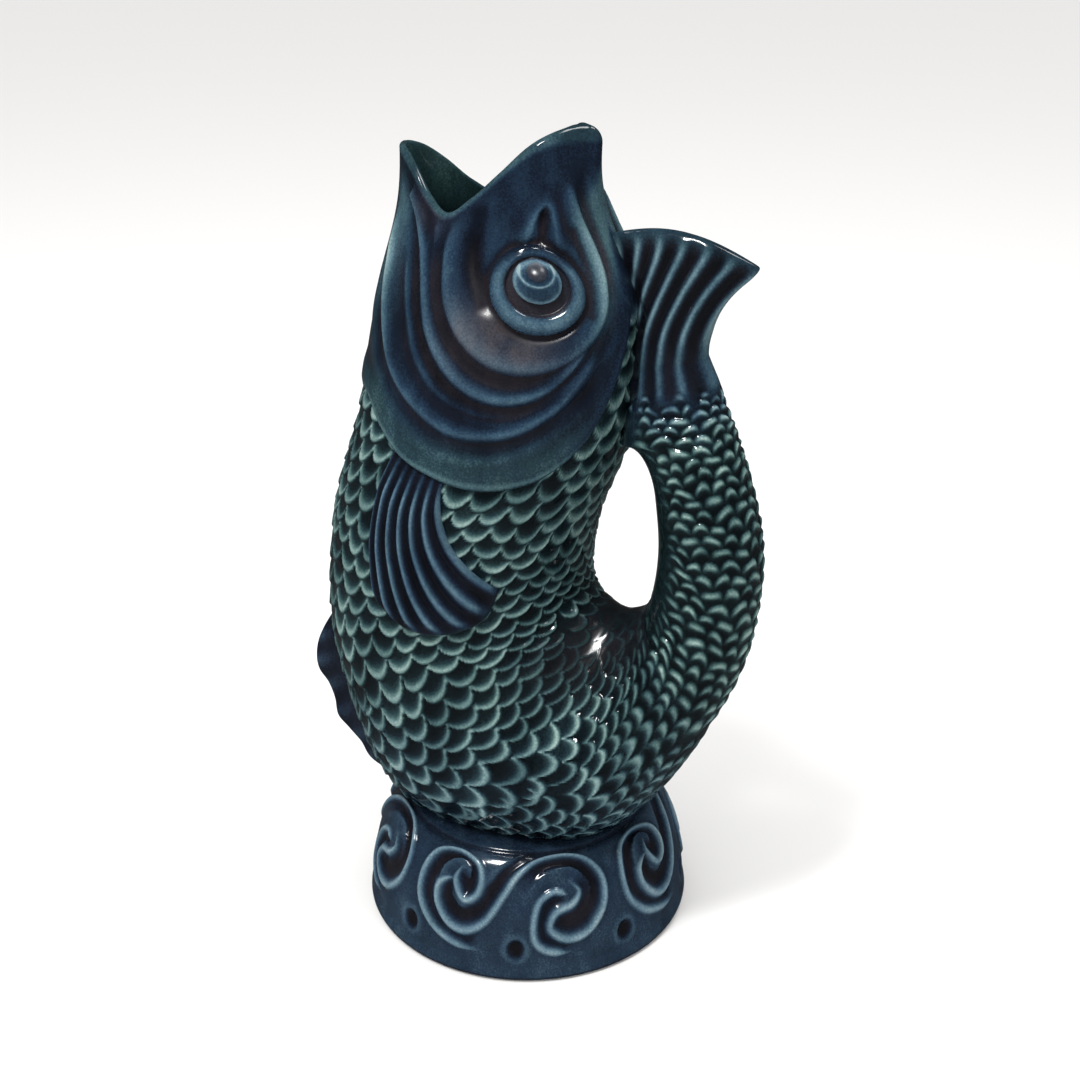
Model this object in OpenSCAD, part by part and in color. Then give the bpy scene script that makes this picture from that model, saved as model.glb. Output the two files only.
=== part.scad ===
// Gurgle jug: a hollow pottery fish that stands head up on a round foot.
// The open mouth is the spout, and the hollow tail bends up behind the back as the handle.
// Origin at the centre of the foot's underside, +Z up, +X towards the tail, the fish's left side towards -Y.

/* [Foot] */
// Width of the foot near the table
foot_d = 107; // [100:1:116]
// Width of the foot's top, where the belly sits
foot_top_d = 76; // [70:1:82]
// Height of the foot
foot_h = 39; // [33:1:45]
// Wall of the hollow foot
foot_wall = 5; // [4:0.5:7]
// Radius of the rounded edge round the underside
foot_edge_r = 2; // [1:0.25:3]
// Width of the passage between the foot and the body
passage_d = 54; // [40:1:58]
// Depth of the foot's wall between its wave scrolls
scroll_depth = 1.8; // [1:0.1:2.2]
// Width of a scroll's ridge at its root
scroll_w = 5; // [3.5:0.25:6]

/* [Fish] */
// Height of the fish above the foot
fish_h = 215; // [195:1:235]
// Length of the fish from the belly to the outside of the tail
fish_l = 142; // [132:1:152]
// Width of the fish across its sides
fish_w = 84; // [78:1:92]
// Wall of the hollow fish
wall = 4; // [3:0.25:5]
// Floor of the body round the passage
floor_t = 4; // [3:0.25:6]
// Height of the scales on the body and the tail
scale_h = 0.9; // [0.4:0.1:1.3]

/* [Head] */
// Height of the gill cover's edge above the body
gill_lip = 1.8; // [0.8:0.1:2.6]
// Height of each fold in front of the gill cover
fold_h = 1.3; // [0.5:0.1:2]
// Number of folds
fold_count = 4; // [2:1:5]

/* [Eyes] */
// Width of the ring round an eye
eye_d = 22; // [17:0.5:24]
// Width of the eyeball
eye_ball_d = 12; // [9:0.5:14]
// Width of the pupil
pupil_d = 5; // [3:0.25:6]
// Height of the eyeball above the head
eye_ball_rise = 3.4; // [2.4:0.2:4.4]
// Height of the ring above the head
eye_ring_rise = 1.8; // [1:0.1:2.4]
// Height of the pupil above the eyeball
pupil_rise = 0.8; // [0.4:0.1:1.2]

/* [Fins] */
// Thickness of a side fin
side_fin_t = 2; // [1.4:0.1:3]
// Height of the rays on a side fin
side_fin_ray_h = 1.1; // [0.5:0.1:1.6]
// Height of a belly fin above the belly
belly_fin_h = 10.5; // [7:0.5:13]
// Thickness of a belly fin at its root
belly_fin_t = 5; // [3.5:0.25:6]
// Height of the tail fin's outer edge
tail_fin_h = 27; // [22:0.5:32]
// Reach of the tail fin's tip beyond the tail
tail_fin_reach = 14; // [9:0.5:18]
// Height of the tail fin's crown above a straight top edge
tail_fin_crown = 5; // [2:0.5:8]
// Thickness of the tail fin's top edge
tail_fin_edge_t = 3.6; // [2.4:0.2:5]
// Height of the rays on the tail fin
tail_fin_ray_h = 0.9; // [0.4:0.1:1.4]

/* [Hidden] */
// Room for slip between a fin or an eye and the skin that carries it
slip_gap = 0.25;
// Extra length of every cut
overrun = 1;
// Depth of an eye's back before the head's curve cuts it
eye_sink = 4;
// Height of the hollow between eyeball and ring above the head
eye_hollow_rise = 0.5;

// Ribs of the fish, from above the mouth down the body, round the bend and up the tail.
// Each rib is a closed section that runs from the back line to the belly line.
// Columns: back x, back z, belly x, belly z, half width, and how much fuller the belly side is.
rib_shares = [
    [0.169, 1.037, -0.285, 1.037, 0.131, -0.20],
    [0.168, 0.902, -0.285, 0.898, 0.208, -0.18],
    [0.2515, 0.772, -0.335, 0.763, 0.333, -0.05],
    [0.2415, 0.614, -0.380, 0.600, 0.411, 0.00],
    [0.158, 0.460, -0.447, 0.428, 0.470, 0.05],
    [0.141, 0.363, -0.440, 0.209, 0.488, 0.12],
    [0.194, 0.335, -0.246, -0.028, 0.458, 0.30],
    [0.246, 0.335, 0.218, -0.019, 0.375, 0.35],
    [0.296, 0.363, 0.472, 0.219, 0.244, 0.10],
    [0.316, 0.451, 0.535, 0.433, 0.202, 0.00],
    [0.296, 0.570, 0.472, 0.605, 0.173, 0.00],
    [0.272, 0.702, 0.394, 0.721, 0.107, 0.00],
];
rib_scale = [fish_l, fish_h, fish_l, fish_h, fish_w, 1];
rib_base = [0, foot_h, 0, foot_h, 0, 0];

// Places along the fish are shares of the way from its first rib to its last one.
// The mouth's rim and the gill cover's edge are given at even angles from back to belly.
rim_shares = [
    0.0240, 0.0231, 0.0230, 0.0288, 0.0408, 0.0615, 0.0832,
    0.0980, 0.0858, 0.0672, 0.0551, 0.0502, 0.0490,
];
gill_shares = [
    0.1345, 0.2045, 0.2682, 0.2982, 0.3073, 0.3064, 0.2991,
    0.2891, 0.2727, 0.2555, 0.2500, 0.2455, 0.2382,
];
tail_joint_share = 0.7273;
tail_hollow_share = 0.9545;
tail_top_share = 1;
rim_round_share = 0.0045;
// Where the inside of the tail swings in to the fish's back, over the handle's eye.
web_from_share = 0.8982;
web_to_share = 0.9255;
// The stretch of the fish's back that the tail and its fin lie along.
back_from_share = 0.40;
back_to_share = 0.09;

// Scales: rows on the body and on the tail, and where in a row its root, a notch and a tip lie.
body_scale_rows = 17;
tail_scale_rows = 10;
scale_root_share = 0.06;
scale_notch_share = 0.55;
scale_tip_share = 0.94;
// On the inside of the bend and of the tail the scales fade out, along and round the fish.
scale_fade_shares = [0.42, 0.55];
scale_fade_angles = [25, 70];

// Share of the head, from rim to gill edge, where the folds begin.
fold_start_share = 0.56;
// Heights along one fold.
fold_step_shares = [0, 0.5, 0.85];
fold_rise_shares = [0, 0.6, 1];
// The folds fade towards the nape and under the chin, between these angles from the back.
fold_nape_share = 0.08;
fold_nape_angles = [4, 32];
fold_chin_share = 0.4;
fold_chin_angles = [135, 178];

// The eye's place on the head: along the fish, and round from the back.
eye_share = 0.1509;
eye_angle = 53;
// Half the stretch of head skin that shapes the eye's back, and the step that gives its slope.
eye_block_share = 0.0545;
eye_block_angle = 44;
eye_slope_share = 0.0018;
eye_slope_angle = 1;

// Side fin: root under the gill edge, and its free end from front to back, along and round the fish.
side_fin_root_share = 0.0036;
side_fin_root_angles = [110, 80];
side_fin_end_shares = [0.4018, 0.4273, 0.4391, 0.4327, 0.4045];
side_fin_end_angles = [99, 85, 72, 58, 47];
side_fin_rays = 7;
// Thickness left at its edges, and how far in from sides, tip and root the full thickness is reached.
side_fin_edge_share = 0.45;
side_fin_side_share = 0.12;
side_fin_tip_share = 0.2;
side_fin_root_ray_share = 0.25;

// Belly fin: span along the fish, angle round from the back, and the outline of its three lobes.
belly_fin_from_share = 0.4327;
belly_fin_to_share = 0.5291;
belly_fin_angle = 160;
belly_fin_shares = [0.08, 0.45, 0.76, 0.95, 1, 0.84, 0.82, 0.9, 0.72, 0.55, 0.52, 0.34, 0.08];
// Half section of the fin: share of the root's thickness, and share of the height.
belly_fin_section_shares = [[1, 0], [0.85, 0.5], [0.35, 1]];
// Thickness left between two rays.
belly_fin_valley_share = 0.7;

// Tail fin: the stretch of the back that it leans on, where its rays begin, and how late its edge swings out.
tail_fin_back_from_share = 0.2218;
tail_fin_back_to_share = 0.1164;
tail_fin_rays = 6;
tail_fin_ray_start_share = 0.4;
tail_fin_swing_share = 0.4;

// Wave scrolls on the foot: lines of one repeat as turns round the foot and rises up its wall, in degrees.
// They are drawn true at the front and a little stretched at the back, so that the repeats close the ring.
scroll_lines = [
    [
        [0, 63], [-1.5, 52], [2.5, 40.5], [7.5, 44], [9, 56], [6, 69], [-3, 76.5],
        [-12, 70], [-16, 52], [-15.5, 33], [-9, 20], [1, 14], [9, 13],
    ],
    [
        [-1, 52], [-4.5, 51], [-8, 45], [-7.5, 34], [-2, 24], [5, 22.5], [12, 30],
        [17.5, 45], [23, 62], [31, 76], [41, 79], [50, 73], [56, 54], [55, 35],
        [48, 22], [40, 20], [34.5, 27], [37, 36], [43, 40], [46, 47], [43, 55],
    ],
    [[41.5, 46], [37, 49.5], [31.5, 44], [29, 33], [29, 21], [33, 14.5], [41, 13]],
];
scroll_line_steps = [15, 27, 9];
// Ringed dots between the scrolls, with the turn and rise that their rings span.
scroll_dots = [[22.5, 15], [62.5, 15]];
scroll_dot_angles = [3.5, 6.3];
scroll_dot_steps = 8;
scroll_repeat_angle = 81;
scroll_repeats = 4;
scroll_front_angle = 24;
// Rises where the sunk field between the scrolls begins and ends.
scroll_field_angles = [4, 10, 82, 88];
// Ridges reach below the sunk field by this share of its depth.
scroll_root_share = 0.5;

// Mesh counts.
columns = 48;
head_rows = 7;
body_inner_rows = 13;
tail_inner_rows = 8;
back_steps = 64;
fin_rows = 8;
arc_steps = 15;
foot_steps = 96;
eye_steps = 6;
eye_round_steps = 64;
eye_block_steps = 9;

quarter_angle = 90;
half_angle = 180;
full_angle = 360;

function lerp(a, b, t) = a + (b - a) * t;
function ease(a, b, x) = let (t = min(1, max(0, (x - a) / (b - a)))) t * t * (3 - 2 * t);
function times(a, b) = [for (i = [0:len(a) - 1]) a[i] * b[i]];
// Angles of the columns round the fish, and the angle from the back line on either side.
round_angles = [for (j = [0:columns - 1]) full_angle * j / columns];
function side_angle(a) = a <= half_angle ? a : full_angle - a;

// Smooth curve through the rows of a table, t from 0 at its first row to 1 at its last.
function along(table, t) =
    let (
        last = len(table) - 1,
        i = min(floor(t * last), last - 1),
        f = t * last - i,
        p1 = table[i],
        p2 = table[i + 1],
        p0 = i > 0 ? table[i - 1] : 2 * p1 - p2,
        p3 = i < last - 1 ? table[i + 2] : 2 * p2 - p1
    )
    (2 * p1 + (p2 - p0) * f + (2 * p0 - 5 * p1 + 4 * p2 - p3) * f * f
        + (3 * p1 - p0 - 3 * p2 + p3) * f * f * f) / 2;
function round_the_fish(table, a) = along(table, side_angle(a) / half_angle);

// One rib in millimetres, and the line of the fish's back: x for a height z.
function free_rib(place) = rib_base + times(along(rib_shares, place), rib_scale);
back_line = [
    for (i = [0:back_steps])
        let (r = free_rib(lerp(back_from_share, back_to_share, i / back_steps)))
        [r[1], r[0]]
];
// The tail's ribs over the handle's eye begin at the fish's back.
function rib(place) =
    let (r = free_rib(place))
    place <= web_from_share ? r
    : concat([lerp(r[0], lookup(r[1], back_line) + slip_gap, ease(web_from_share, web_to_share, place))],
        [for (i = [1:len(r) - 1]) r[i]]);

// Point of the skin at a place along the fish and an angle round from the back, set in by a depth.
function skin(place, a, depth) =
    let (
        r = rib(place),
        back = [r[0], r[1]],
        belly = [r[2], r[3]],
        inward = (belly - back) / norm(belly - back),
        p = lerp(back + inward * depth, belly - inward * depth, (1 - cos(a)) / 2)
    )
    [p[0], -(r[4] * (1 - r[5] * cos(a)) - depth) * sin(a), p[1]];

function ring(place, depth) = [for (a = round_angles) skin(place, a, depth)];

// How far the scales show at a place along and round the fish.
function scale_cover(place, a) = lerp(
    1,
    ease(scale_fade_angles[0], scale_fade_angles[1], side_angle(a)),
    ease(scale_fade_shares[0], scale_fade_shares[1], place)
);
// Rings over a stretch of scales: each row has a low root and a free edge of tips and notches,
// and its tips stand over the notches of the row before. Both ends of the stretch are plain.
function scale_rings(from, to, rows) =
    let (from_to = [for (j = [0:columns - 1]) [from[j], to]])
    concat(
        [[for (j = [0:columns - 1]) skin(from_to[j][0], round_angles[j], 0)]],
        [
            for (i = [1:2 * rows - 1])
                [
                    for (j = [0:columns - 1])
                        let (
                            row = floor(i / 2),
                            edge = i % 2 == 1,
                            tip = (row + j) % 2 == 0,
                            share = edge ? (tip ? scale_tip_share : scale_notch_share) : scale_root_share,
                            place = lerp(from_to[j][0], from_to[j][1], (row + share) / rows),
                            depth = edge && tip ? 0 : scale_h
                        )
                        skin(place, round_angles[j], depth * scale_cover(place, round_angles[j]))
                ]
        ],
        [[for (j = [0:columns - 1]) skin(to, round_angles[j], 0)]]
    );

// Closed mesh over a list of rings: a tube that closes on itself, or one with both ends capped.
// Each four-sided cell is split along its shorter diagonal, so that two pieces split a shared face alike.
// Where a stretch of scale rings begins at a ring, its cells are split along the scales' edges.
module loft(rings, looped, scale_from = 0, scale_rows = 0) {
    m = len(rings);
    n = len(rings[0]);
    points = [for (r = rings) each r];
    function scaled(i) = i >= scale_from && i < scale_from + 2 * scale_rows;
    function edge_side(i, j) = (floor((i - scale_from) / 2) + j) % 2 == 1;
    function shorter(a, b, c, d) = norm(points[a] - points[c]) < norm(points[b] - points[d]);
    walls = [
        for (i = [0:looped ? m - 1 : m - 2], j = [0:n - 1])
            let (
                a = i * n + j,
                b = i * n + (j + 1) % n,
                c = (i + 1) % m * n + (j + 1) % n,
                d = (i + 1) % m * n + j
            )
            each (scaled(i) ? edge_side(i, j) : shorter(a, b, c, d))
                ? [[a, c, b], [a, d, c]]
                : [[a, d, b], [b, d, c]]
    ];
    first = looped ? [] : strip_cap(n, 0, false);
    last = looped ? [] : strip_cap(n, (m - 1) * n, true);
    polyhedron(points, concat(walls, first, last));
}

// End of a tube, filled by a strip that runs from the ring's first point to the one opposite.
function strip_cap(n, start, flip) =
    [
        for (j = [0:n / 2 - 1])
            let (
                a = start + j,
                b = start + j + 1,
                c = start + n - j - 1,
                d = start + (n - j) % n
            )
            each [
                if (c != b) flip ? [c, b, a] : [a, b, c],
                if (a != d) flip ? [d, c, a] : [a, c, d],
            ]
    ];

// Foot: a revolved hollow plinth with a bulging wall, a flat underside and a passage up into the body.
// Wave scrolls and ringed dots stand up from the sunk field of the wall.
module foot() {
    foot_r = foot_d / 2;
    top_r = foot_top_d / 2;
    wall_h = foot_h - foot_edge_r;
    function bulge(t) = [top_r + (foot_r - top_r) * cos(t), foot_edge_r + wall_h * sin(t)];
    function bulge_out(t) =
        let (n = [wall_h * cos(t), (foot_r - top_r) * sin(t)])
        n / norm(n);
    function sunk(t) =
        scroll_depth * ease(scroll_field_angles[0], scroll_field_angles[1], t)
        * (1 - ease(scroll_field_angles[2], scroll_field_angles[3], t));
    edge = [
        for (i = [0:arc_steps])
            let (t = quarter_angle * i / arc_steps)
            [foot_r - foot_edge_r * (1 - sin(t)), foot_edge_r * (1 - cos(t))]
    ];
    outside = [
        for (i = [1:arc_steps])
            let (t = quarter_angle * i / arc_steps)
            bulge(t) - sunk(t) * bulge_out(t)
    ];
    floor_angle = asin((foot_wall - foot_edge_r) / wall_h);
    ceiling_angle = asin((wall_h - foot_wall) / wall_h);
    inside = [
        for (i = [arc_steps:-1:0])
            bulge(lerp(floor_angle, ceiling_angle, i / arc_steps)) - [foot_wall, 0]
    ];
    passage = [[passage_d / 2, foot_h], [passage_d / 2, foot_h - foot_wall]];

    // The pattern's turn, stretched towards the back.
    fill = scroll_repeat_angle * scroll_repeats / full_angle;
    function stretched(turn) =
        let (y = (turn - scroll_front_angle) / fill)
        scroll_front_angle + y - (1 - fill) * sin(y) * half_angle / PI;
    function on_wall(turn, rise, depth) =
        let (p = bulge(rise) - depth * bulge_out(rise), a = stretched(turn))
        [p[0] * sin(a), -p[0] * cos(a), p[1]];
    // Three-sided section of a ridge at a point of its line, across the line's way.
    function ridge_ring(p, way) =
        let (
            per_turn = bulge(p[1])[0] * PI / half_angle,
            per_rise = norm([(foot_r - top_r) * sin(p[1]), wall_h * cos(p[1])]) * PI / half_angle,
            step = [way[0] * per_turn, way[1] * per_rise] / norm([way[0] * per_turn, way[1] * per_rise]),
            across = [-step[1] / per_turn, step[0] / per_rise] * scroll_w / 2,
            root = scroll_depth * (1 + scroll_root_share)
        )
        [
            on_wall(p[0] + across[0], p[1] + across[1], root),
            on_wall(p[0], p[1], 0),
            on_wall(p[0] - across[0], p[1] - across[1], root),
        ];
    function ridge(line, steps, turn) = [
        for (i = [0:steps])
            let (
                p = along(line, i / steps),
                before = along(line, max(0, i - scroll_root_share) / steps),
                after = along(line, min(steps, i + scroll_root_share) / steps)
            )
            ridge_ring(p + [turn, 0], after - before)
    ];
    function dot_ring(centre) = [
        for (i = [0:scroll_dot_steps - 1])
            let (a = full_angle * i / scroll_dot_steps)
            ridge_ring(
                centre + [scroll_dot_angles[0] * cos(a), scroll_dot_angles[1] * sin(a)],
                [-scroll_dot_angles[0] * sin(a), scroll_dot_angles[1] * cos(a)]
            )
    ];
    color("#27406b")
    union() {
        rotate_extrude($fn = foot_steps)
        polygon(concat([[0, 0]], edge, outside, passage, inside, [[0, foot_wall]]));
        for (n = [0:scroll_repeats - 1]) {
            for (k = [0:len(scroll_lines) - 1])
                loft(ridge(scroll_lines[k], scroll_line_steps[k], scroll_repeat_angle * n), false);
            for (dot = scroll_dots)
                loft(dot_ring(dot + [scroll_repeat_angle * n, 0]), true);
        }
    }
}

// Body: the fish's trunk from the gill edge round the bend to the tail, hollow, cut flat on the foot.
module body() {
    inner_floor = foot_h + floor_t;
    gills = [for (a = round_angles) round_the_fish(gill_shares, a)];
    function lifted(p) = [p[0], p[1], max(p[2], inner_floor)];
    inner = [
        for (i = [body_inner_rows:-1:0])
            [
                for (j = [0:columns - 1])
                    lifted(skin(lerp(gills[j], tail_joint_share, i / body_inner_rows), round_angles[j], wall))
            ]
    ];
    color("#1d3b38")
    difference() {
        loft(concat(scale_rings(gills, tail_joint_share, body_scale_rows), inner), true, 0, body_scale_rows);
        cylinder(d = 2 * fish_l, h = foot_h);
        translate([0, 0, foot_h - overrun])
        cylinder(d = passage_d, h = floor_t + 2 * overrun);
    }
}

// Height of the head's skin above the ribs, for a share of the way from rim to gill edge.
function fold_rise(share, a) =
    let (
        b = side_angle(a),
        nape = lerp(fold_nape_share, 1, ease(fold_nape_angles[0], fold_nape_angles[1], b)),
        chin = lerp(1, fold_chin_share, ease(fold_chin_angles[0], fold_chin_angles[1], b)),
        t = (share - fold_start_share) / (1 - fold_start_share) * fold_count,
        top = t > fold_count - 1 ? gill_lip : fold_h,
        steps = [for (k = [0:len(fold_step_shares) - 1]) [fold_step_shares[k], fold_rise_shares[k]]],
        rise = t <= 0 ? 0 : t >= fold_count ? 1 : lookup(t - floor(t), steps)
    )
    nape * chin * top * rise;

// Head: the open mouth with its two jaws, and the gill folds down to the gill cover's edge.
module head() {
    function place(a, t) = lerp(round_the_fish(rim_shares, a), round_the_fish(gill_shares, a), t);
    function head_ring(share, shift, depth, rise) = [
        for (a = round_angles)
            skin(place(a, share) + shift, a, depth - rise * fold_rise(share, a))
    ];
    jaws = [for (i = [1:head_rows - 1]) fold_start_share * i / head_rows];
    folds = [
        for (i = [0:fold_count - 1], f = fold_step_shares)
            lerp(fold_start_share, 1, (i + f) / fold_count)
    ];
    lip = [head_ring(0, 0, wall / 2, 0), head_ring(0, rim_round_share, 0, 0)];
    outer = [for (share = concat(jaws, folds, [1])) head_ring(share, 0, 0, 1)];
    seam = [head_ring(1, 0, 0, 0), head_ring(1, 0, wall, 0)];
    inner = [for (i = [head_rows - 1:-1:1]) head_ring(i / head_rows, 0, wall, 0)];
    inner_lip = [head_ring(0, rim_round_share, wall, 0)];
    color("#2a4674")
    loft(concat(lip, outer, seam, inner, inner_lip), true);
}

// Tail handle: the upswept hollow tail, closed under the fin, where air is trapped as the jug pours.
module tail_handle() {
    joint = [for (a = round_angles) tail_joint_share];
    inner = [
        for (i = [tail_inner_rows:-1:0])
            ring(lerp(tail_joint_share, tail_hollow_share, i / tail_inner_rows), wall)
    ];
    outer = scale_rings(joint, tail_top_share, tail_scale_rows);
    color("#1d3b38")
    loft(concat(inner, outer), false, len(inner), tail_scale_rows);
}

// Tail fin: a rayed fan that grows from the tail's end and leans on the fish's back.
module tail_fin() {
    tail_end = rib(tail_top_share);
    function back_edge(t) =
        let (r = rib(lerp(tail_fin_back_from_share, tail_fin_back_to_share, t)))
        [r[0] + slip_gap, r[1]];
    function swing(t) = tail_fin_reach * t * t * lerp(1, t, tail_fin_swing_share);
    function outer_edge(t) = [tail_end[2] + swing(t), tail_end[3] + tail_fin_h * t];
    function fan(t, a) =
        let (
            k = (1 - cos(a)) / 2,
            p = lerp(back_edge(t), outer_edge(t), k),
            half_t = lerp(tail_end[4], tail_fin_edge_t / 2, t),
            ray = tail_fin_ray_h * ease(0, tail_fin_ray_start_share, t) * cos(2 * tail_fin_rays * a),
            crown = tail_fin_crown * t * t * sin(half_angle * k)
        )
        [p[0], -(half_t + ray) * sin(a), p[1] + crown];
    rows = [
        for (i = [1:fin_rows])
            [for (a = round_angles) fan(i / fin_rows, a)]
    ];
    color("#2a4674")
    loft(concat([ring(tail_top_share, 0)], rows), false);
}

// Side fin: a rayed paddle that lies back on the flank from under the gill cover's edge.
module side_fin() {
    cells = 2 * (side_fin_rays - 1);
    function root_angle(q) = lerp(side_fin_root_angles[0], side_fin_root_angles[1], q);
    function root_place(q) = round_the_fish(gill_shares, root_angle(q)) + side_fin_root_share;
    function fin_skin(t, q, lift) = skin(
        lerp(root_place(q), along(side_fin_end_shares, q), t),
        lerp(root_angle(q), along(side_fin_end_angles, q), t),
        -lift
    );
    function thickness(t, q) =
        let (
            sides = min(ease(0, side_fin_side_share, q), ease(0, side_fin_side_share, 1 - q)),
            rim = min(sides, ease(0, side_fin_tip_share, 1 - t)),
            wave = (1 + cos(full_angle * (side_fin_rays - 1) * q)) / 2,
            ray = side_fin_ray_h * wave * ease(0, side_fin_root_ray_share, t)
        )
        lerp(side_fin_edge_share, 1, rim) * (side_fin_t + ray);
    rows = [
        for (i = [0:fin_rows])
            let (t = i / fin_rows)
            concat(
                [for (k = [cells:-1:0]) fin_skin(t, k / cells, slip_gap + thickness(t, k / cells))],
                [for (k = [0:cells]) fin_skin(t, k / cells, slip_gap)]
            )
    ];
    color("#2a4674")
    loft(rows, false);
}

// Belly fin: a low three-lobed fin, one on each side of the belly.
module belly_fin() {
    steps = len(belly_fin_shares) - 1;
    last = len(belly_fin_section_shares) - 1;
    function ray(i, k) = k == 0 || i % 2 == 0 ? 1 : belly_fin_valley_share;
    function fin_point(i, k, side) =
        let (
            place = lerp(belly_fin_from_share, belly_fin_to_share, i / steps),
            spread = asin(belly_fin_t / 2 / rib(place)[4]),
            section = belly_fin_section_shares[k],
            rise = belly_fin_h * belly_fin_shares[i] * section[1]
        )
        skin(place, belly_fin_angle + side * spread * section[0] * ray(i, k), -slip_gap - rise);
    rows = [
        for (i = [0:steps])
            concat(
                [for (k = [0:last]) fin_point(i, k, -1)],
                [for (k = [last:-1:0]) fin_point(i, k, 1)]
            )
    ];
    color("#2a4674")
    loft(rows, false);
}

// Eye: a turned button of ring, hollow, eyeball and pupil, hollowed behind to the curve of the head.
module eye() {
    ball_r = eye_ball_d / 2;
    ring_r = (eye_d - eye_ball_d) / 4;
    pupil_r = pupil_d / 2;
    function around(along_step, round_step) = skin(eye_share + along_step, eye_angle + round_step, 0);
    centre = around(0, 0);
    down = around(eye_slope_share, 0) - around(-eye_slope_share, 0);
    across = around(0, eye_slope_angle) - around(0, -eye_slope_angle);
    normal = cross(across, down) / norm(cross(across, down));
    pupil_from = acos(pupil_r / ball_r);
    ball_rise = eye_ball_rise - eye_hollow_rise;
    ring_rise = eye_ring_rise - eye_hollow_rise;
    function ball(t) = [ball_r * cos(t), eye_hollow_rise + ball_rise * sin(t)];
    function pupil(t) = [pupil_r * cos(t), ball(pupil_from)[1] + pupil_rise * sin(t)];
    function eye_ring(t) = [ball_r + ring_r * (1 - cos(t)), eye_hollow_rise + ring_rise * sin(t)];
    profile = concat(
        [for (i = [eye_steps:-1:0]) pupil(quarter_angle * i / eye_steps)],
        [for (i = [eye_steps - 1:-1:1]) ball(pupil_from * i / eye_steps)],
        [for (i = [0:2 * eye_steps]) eye_ring(quarter_angle * i / eye_steps)],
        [[eye_d / 2, -eye_sink], [0, -eye_sink]]
    );
    function behind(i, j, depth) = skin(
        eye_share + eye_block_share * (2 * i / eye_block_steps - 1),
        eye_angle + eye_block_angle * (2 * j / eye_block_steps - 1),
        depth
    );
    block = [
        for (i = [0:eye_block_steps])
            concat(
                [for (j = [0:eye_block_steps]) behind(i, j, -slip_gap)],
                [for (j = [eye_block_steps:-1:0]) behind(i, j, 2 * eye_sink)]
            )
    ];
    color("#3b5c88")
    difference() {
        translate(centre)
        rotate([0, acos(normal[2]), atan2(normal[1], normal[0])])
        rotate_extrude($fn = eye_round_steps)
        polygon(profile);
        loft(block, false);
    }
}

module left_side_fin() { side_fin(); }
module right_side_fin() { mirror([0, 1, 0]) side_fin(); }
module left_belly_fin() { belly_fin(); }
module right_belly_fin() { mirror([0, 1, 0]) belly_fin(); }
module left_eye() { eye(); }
module right_eye() { mirror([0, 1, 0]) eye(); }

foot();
body();
head();
tail_handle();
tail_fin();
left_side_fin();
right_side_fin();
left_belly_fin();
right_belly_fin();
left_eye();
right_eye();
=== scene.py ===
import math

import bpy
import numpy as np
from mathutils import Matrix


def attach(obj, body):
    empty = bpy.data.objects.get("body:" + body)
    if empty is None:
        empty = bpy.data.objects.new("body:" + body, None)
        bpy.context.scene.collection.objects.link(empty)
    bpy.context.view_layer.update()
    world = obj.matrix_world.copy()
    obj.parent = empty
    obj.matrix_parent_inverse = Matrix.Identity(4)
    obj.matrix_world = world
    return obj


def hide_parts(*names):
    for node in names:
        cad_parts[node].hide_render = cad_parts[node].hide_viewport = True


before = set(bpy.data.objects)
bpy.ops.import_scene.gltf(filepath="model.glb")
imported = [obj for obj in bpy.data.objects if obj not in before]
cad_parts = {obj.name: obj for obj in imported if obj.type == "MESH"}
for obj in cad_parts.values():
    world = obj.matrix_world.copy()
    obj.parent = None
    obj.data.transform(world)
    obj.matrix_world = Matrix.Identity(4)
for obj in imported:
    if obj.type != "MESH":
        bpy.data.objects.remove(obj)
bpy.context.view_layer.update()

# Foot: a round hollow plinth of white earthenware, cast in a mould with wave scrolls and
# ringed dots in relief, dipped in blue glaze and luted under the fish's belly with slip.
MM = 0.001
cap_crease = math.radians(65)
foot_r = 53.4
foot_top_r = 38.0
foot_h = 39.0
foot_wall = 5.0
foot_edge_r = 2.0
passage_r = 27.0
foot_columns = 660
foot_rows = 104
scroll_depth = 2.1
carve_from, carve_to = 6, 85
ridge_w, crest_w, ridge_share = 2.3, 1.35, 0.65
channel_from, channel_to = 4.4, 6.8
hollow_from, hollow_to, flip_w, ridge_end_drop = 0.4, 1.8, 0.08, 1.2
land_share = 0.58
skirt_from, skirt_to = 5, 12
shoulder_from, shoulder_land = 84, 0.6
dot_r, dot_land = 2.6, 3.2
dot_rim_r, dot_rim_w, dot_rim_h = 0.8, 1.2, 0.10
pit_out, pit_in = 0.6, 1.5
foot_mm_per_degree = 0.85
wall_mm_per_degree = 0.46
scroll_period = 81.0
scroll_count = 4
scroll_front, scroll_lead, squeeze_passes = 24.0, 30, 8
scroll_ridges = [
    [(0, 63), (-1.5, 52), (2.5, 40.5), (7.5, 44), (9, 56), (6, 69), (-3, 76.5), (-12, 70), (-16, 52),
     (-15.5, 33), (-9, 20), (1, 13.5), (9, 12.5)],
    [(-1, 52), (-4.5, 51), (-8, 45), (-7.5, 34), (-2, 24), (5, 22.5), (12, 30), (17.5, 45), (23, 62), (31, 76),
     (41, 80), (50, 73), (56, 54), (55, 35), (48, 22), (40, 20), (34.5, 27), (37, 36), (43, 40), (46, 47), (43, 55)],
    [(41.5, 46), (37, 49.5), (31.5, 44), (29, 33), (29, 21), (33, 14.5), (41, 12)],
]
scroll_hollow_flips = [2.0, 0.42, 2.0]
scroll_dots = [(22.5, 15), (62.5, 15)]
line_steps = 5
foot_pool_passes, pool_depth = 26, 0.40
foot_tone, ridge_tone, foot_pool_tone, scroll_crest_tone = 0.15, 0.50, 0.14, 0.10
shoulder_shade, skirt_tone, hidden_tone = 0.16, 0.30, 0.2
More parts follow.
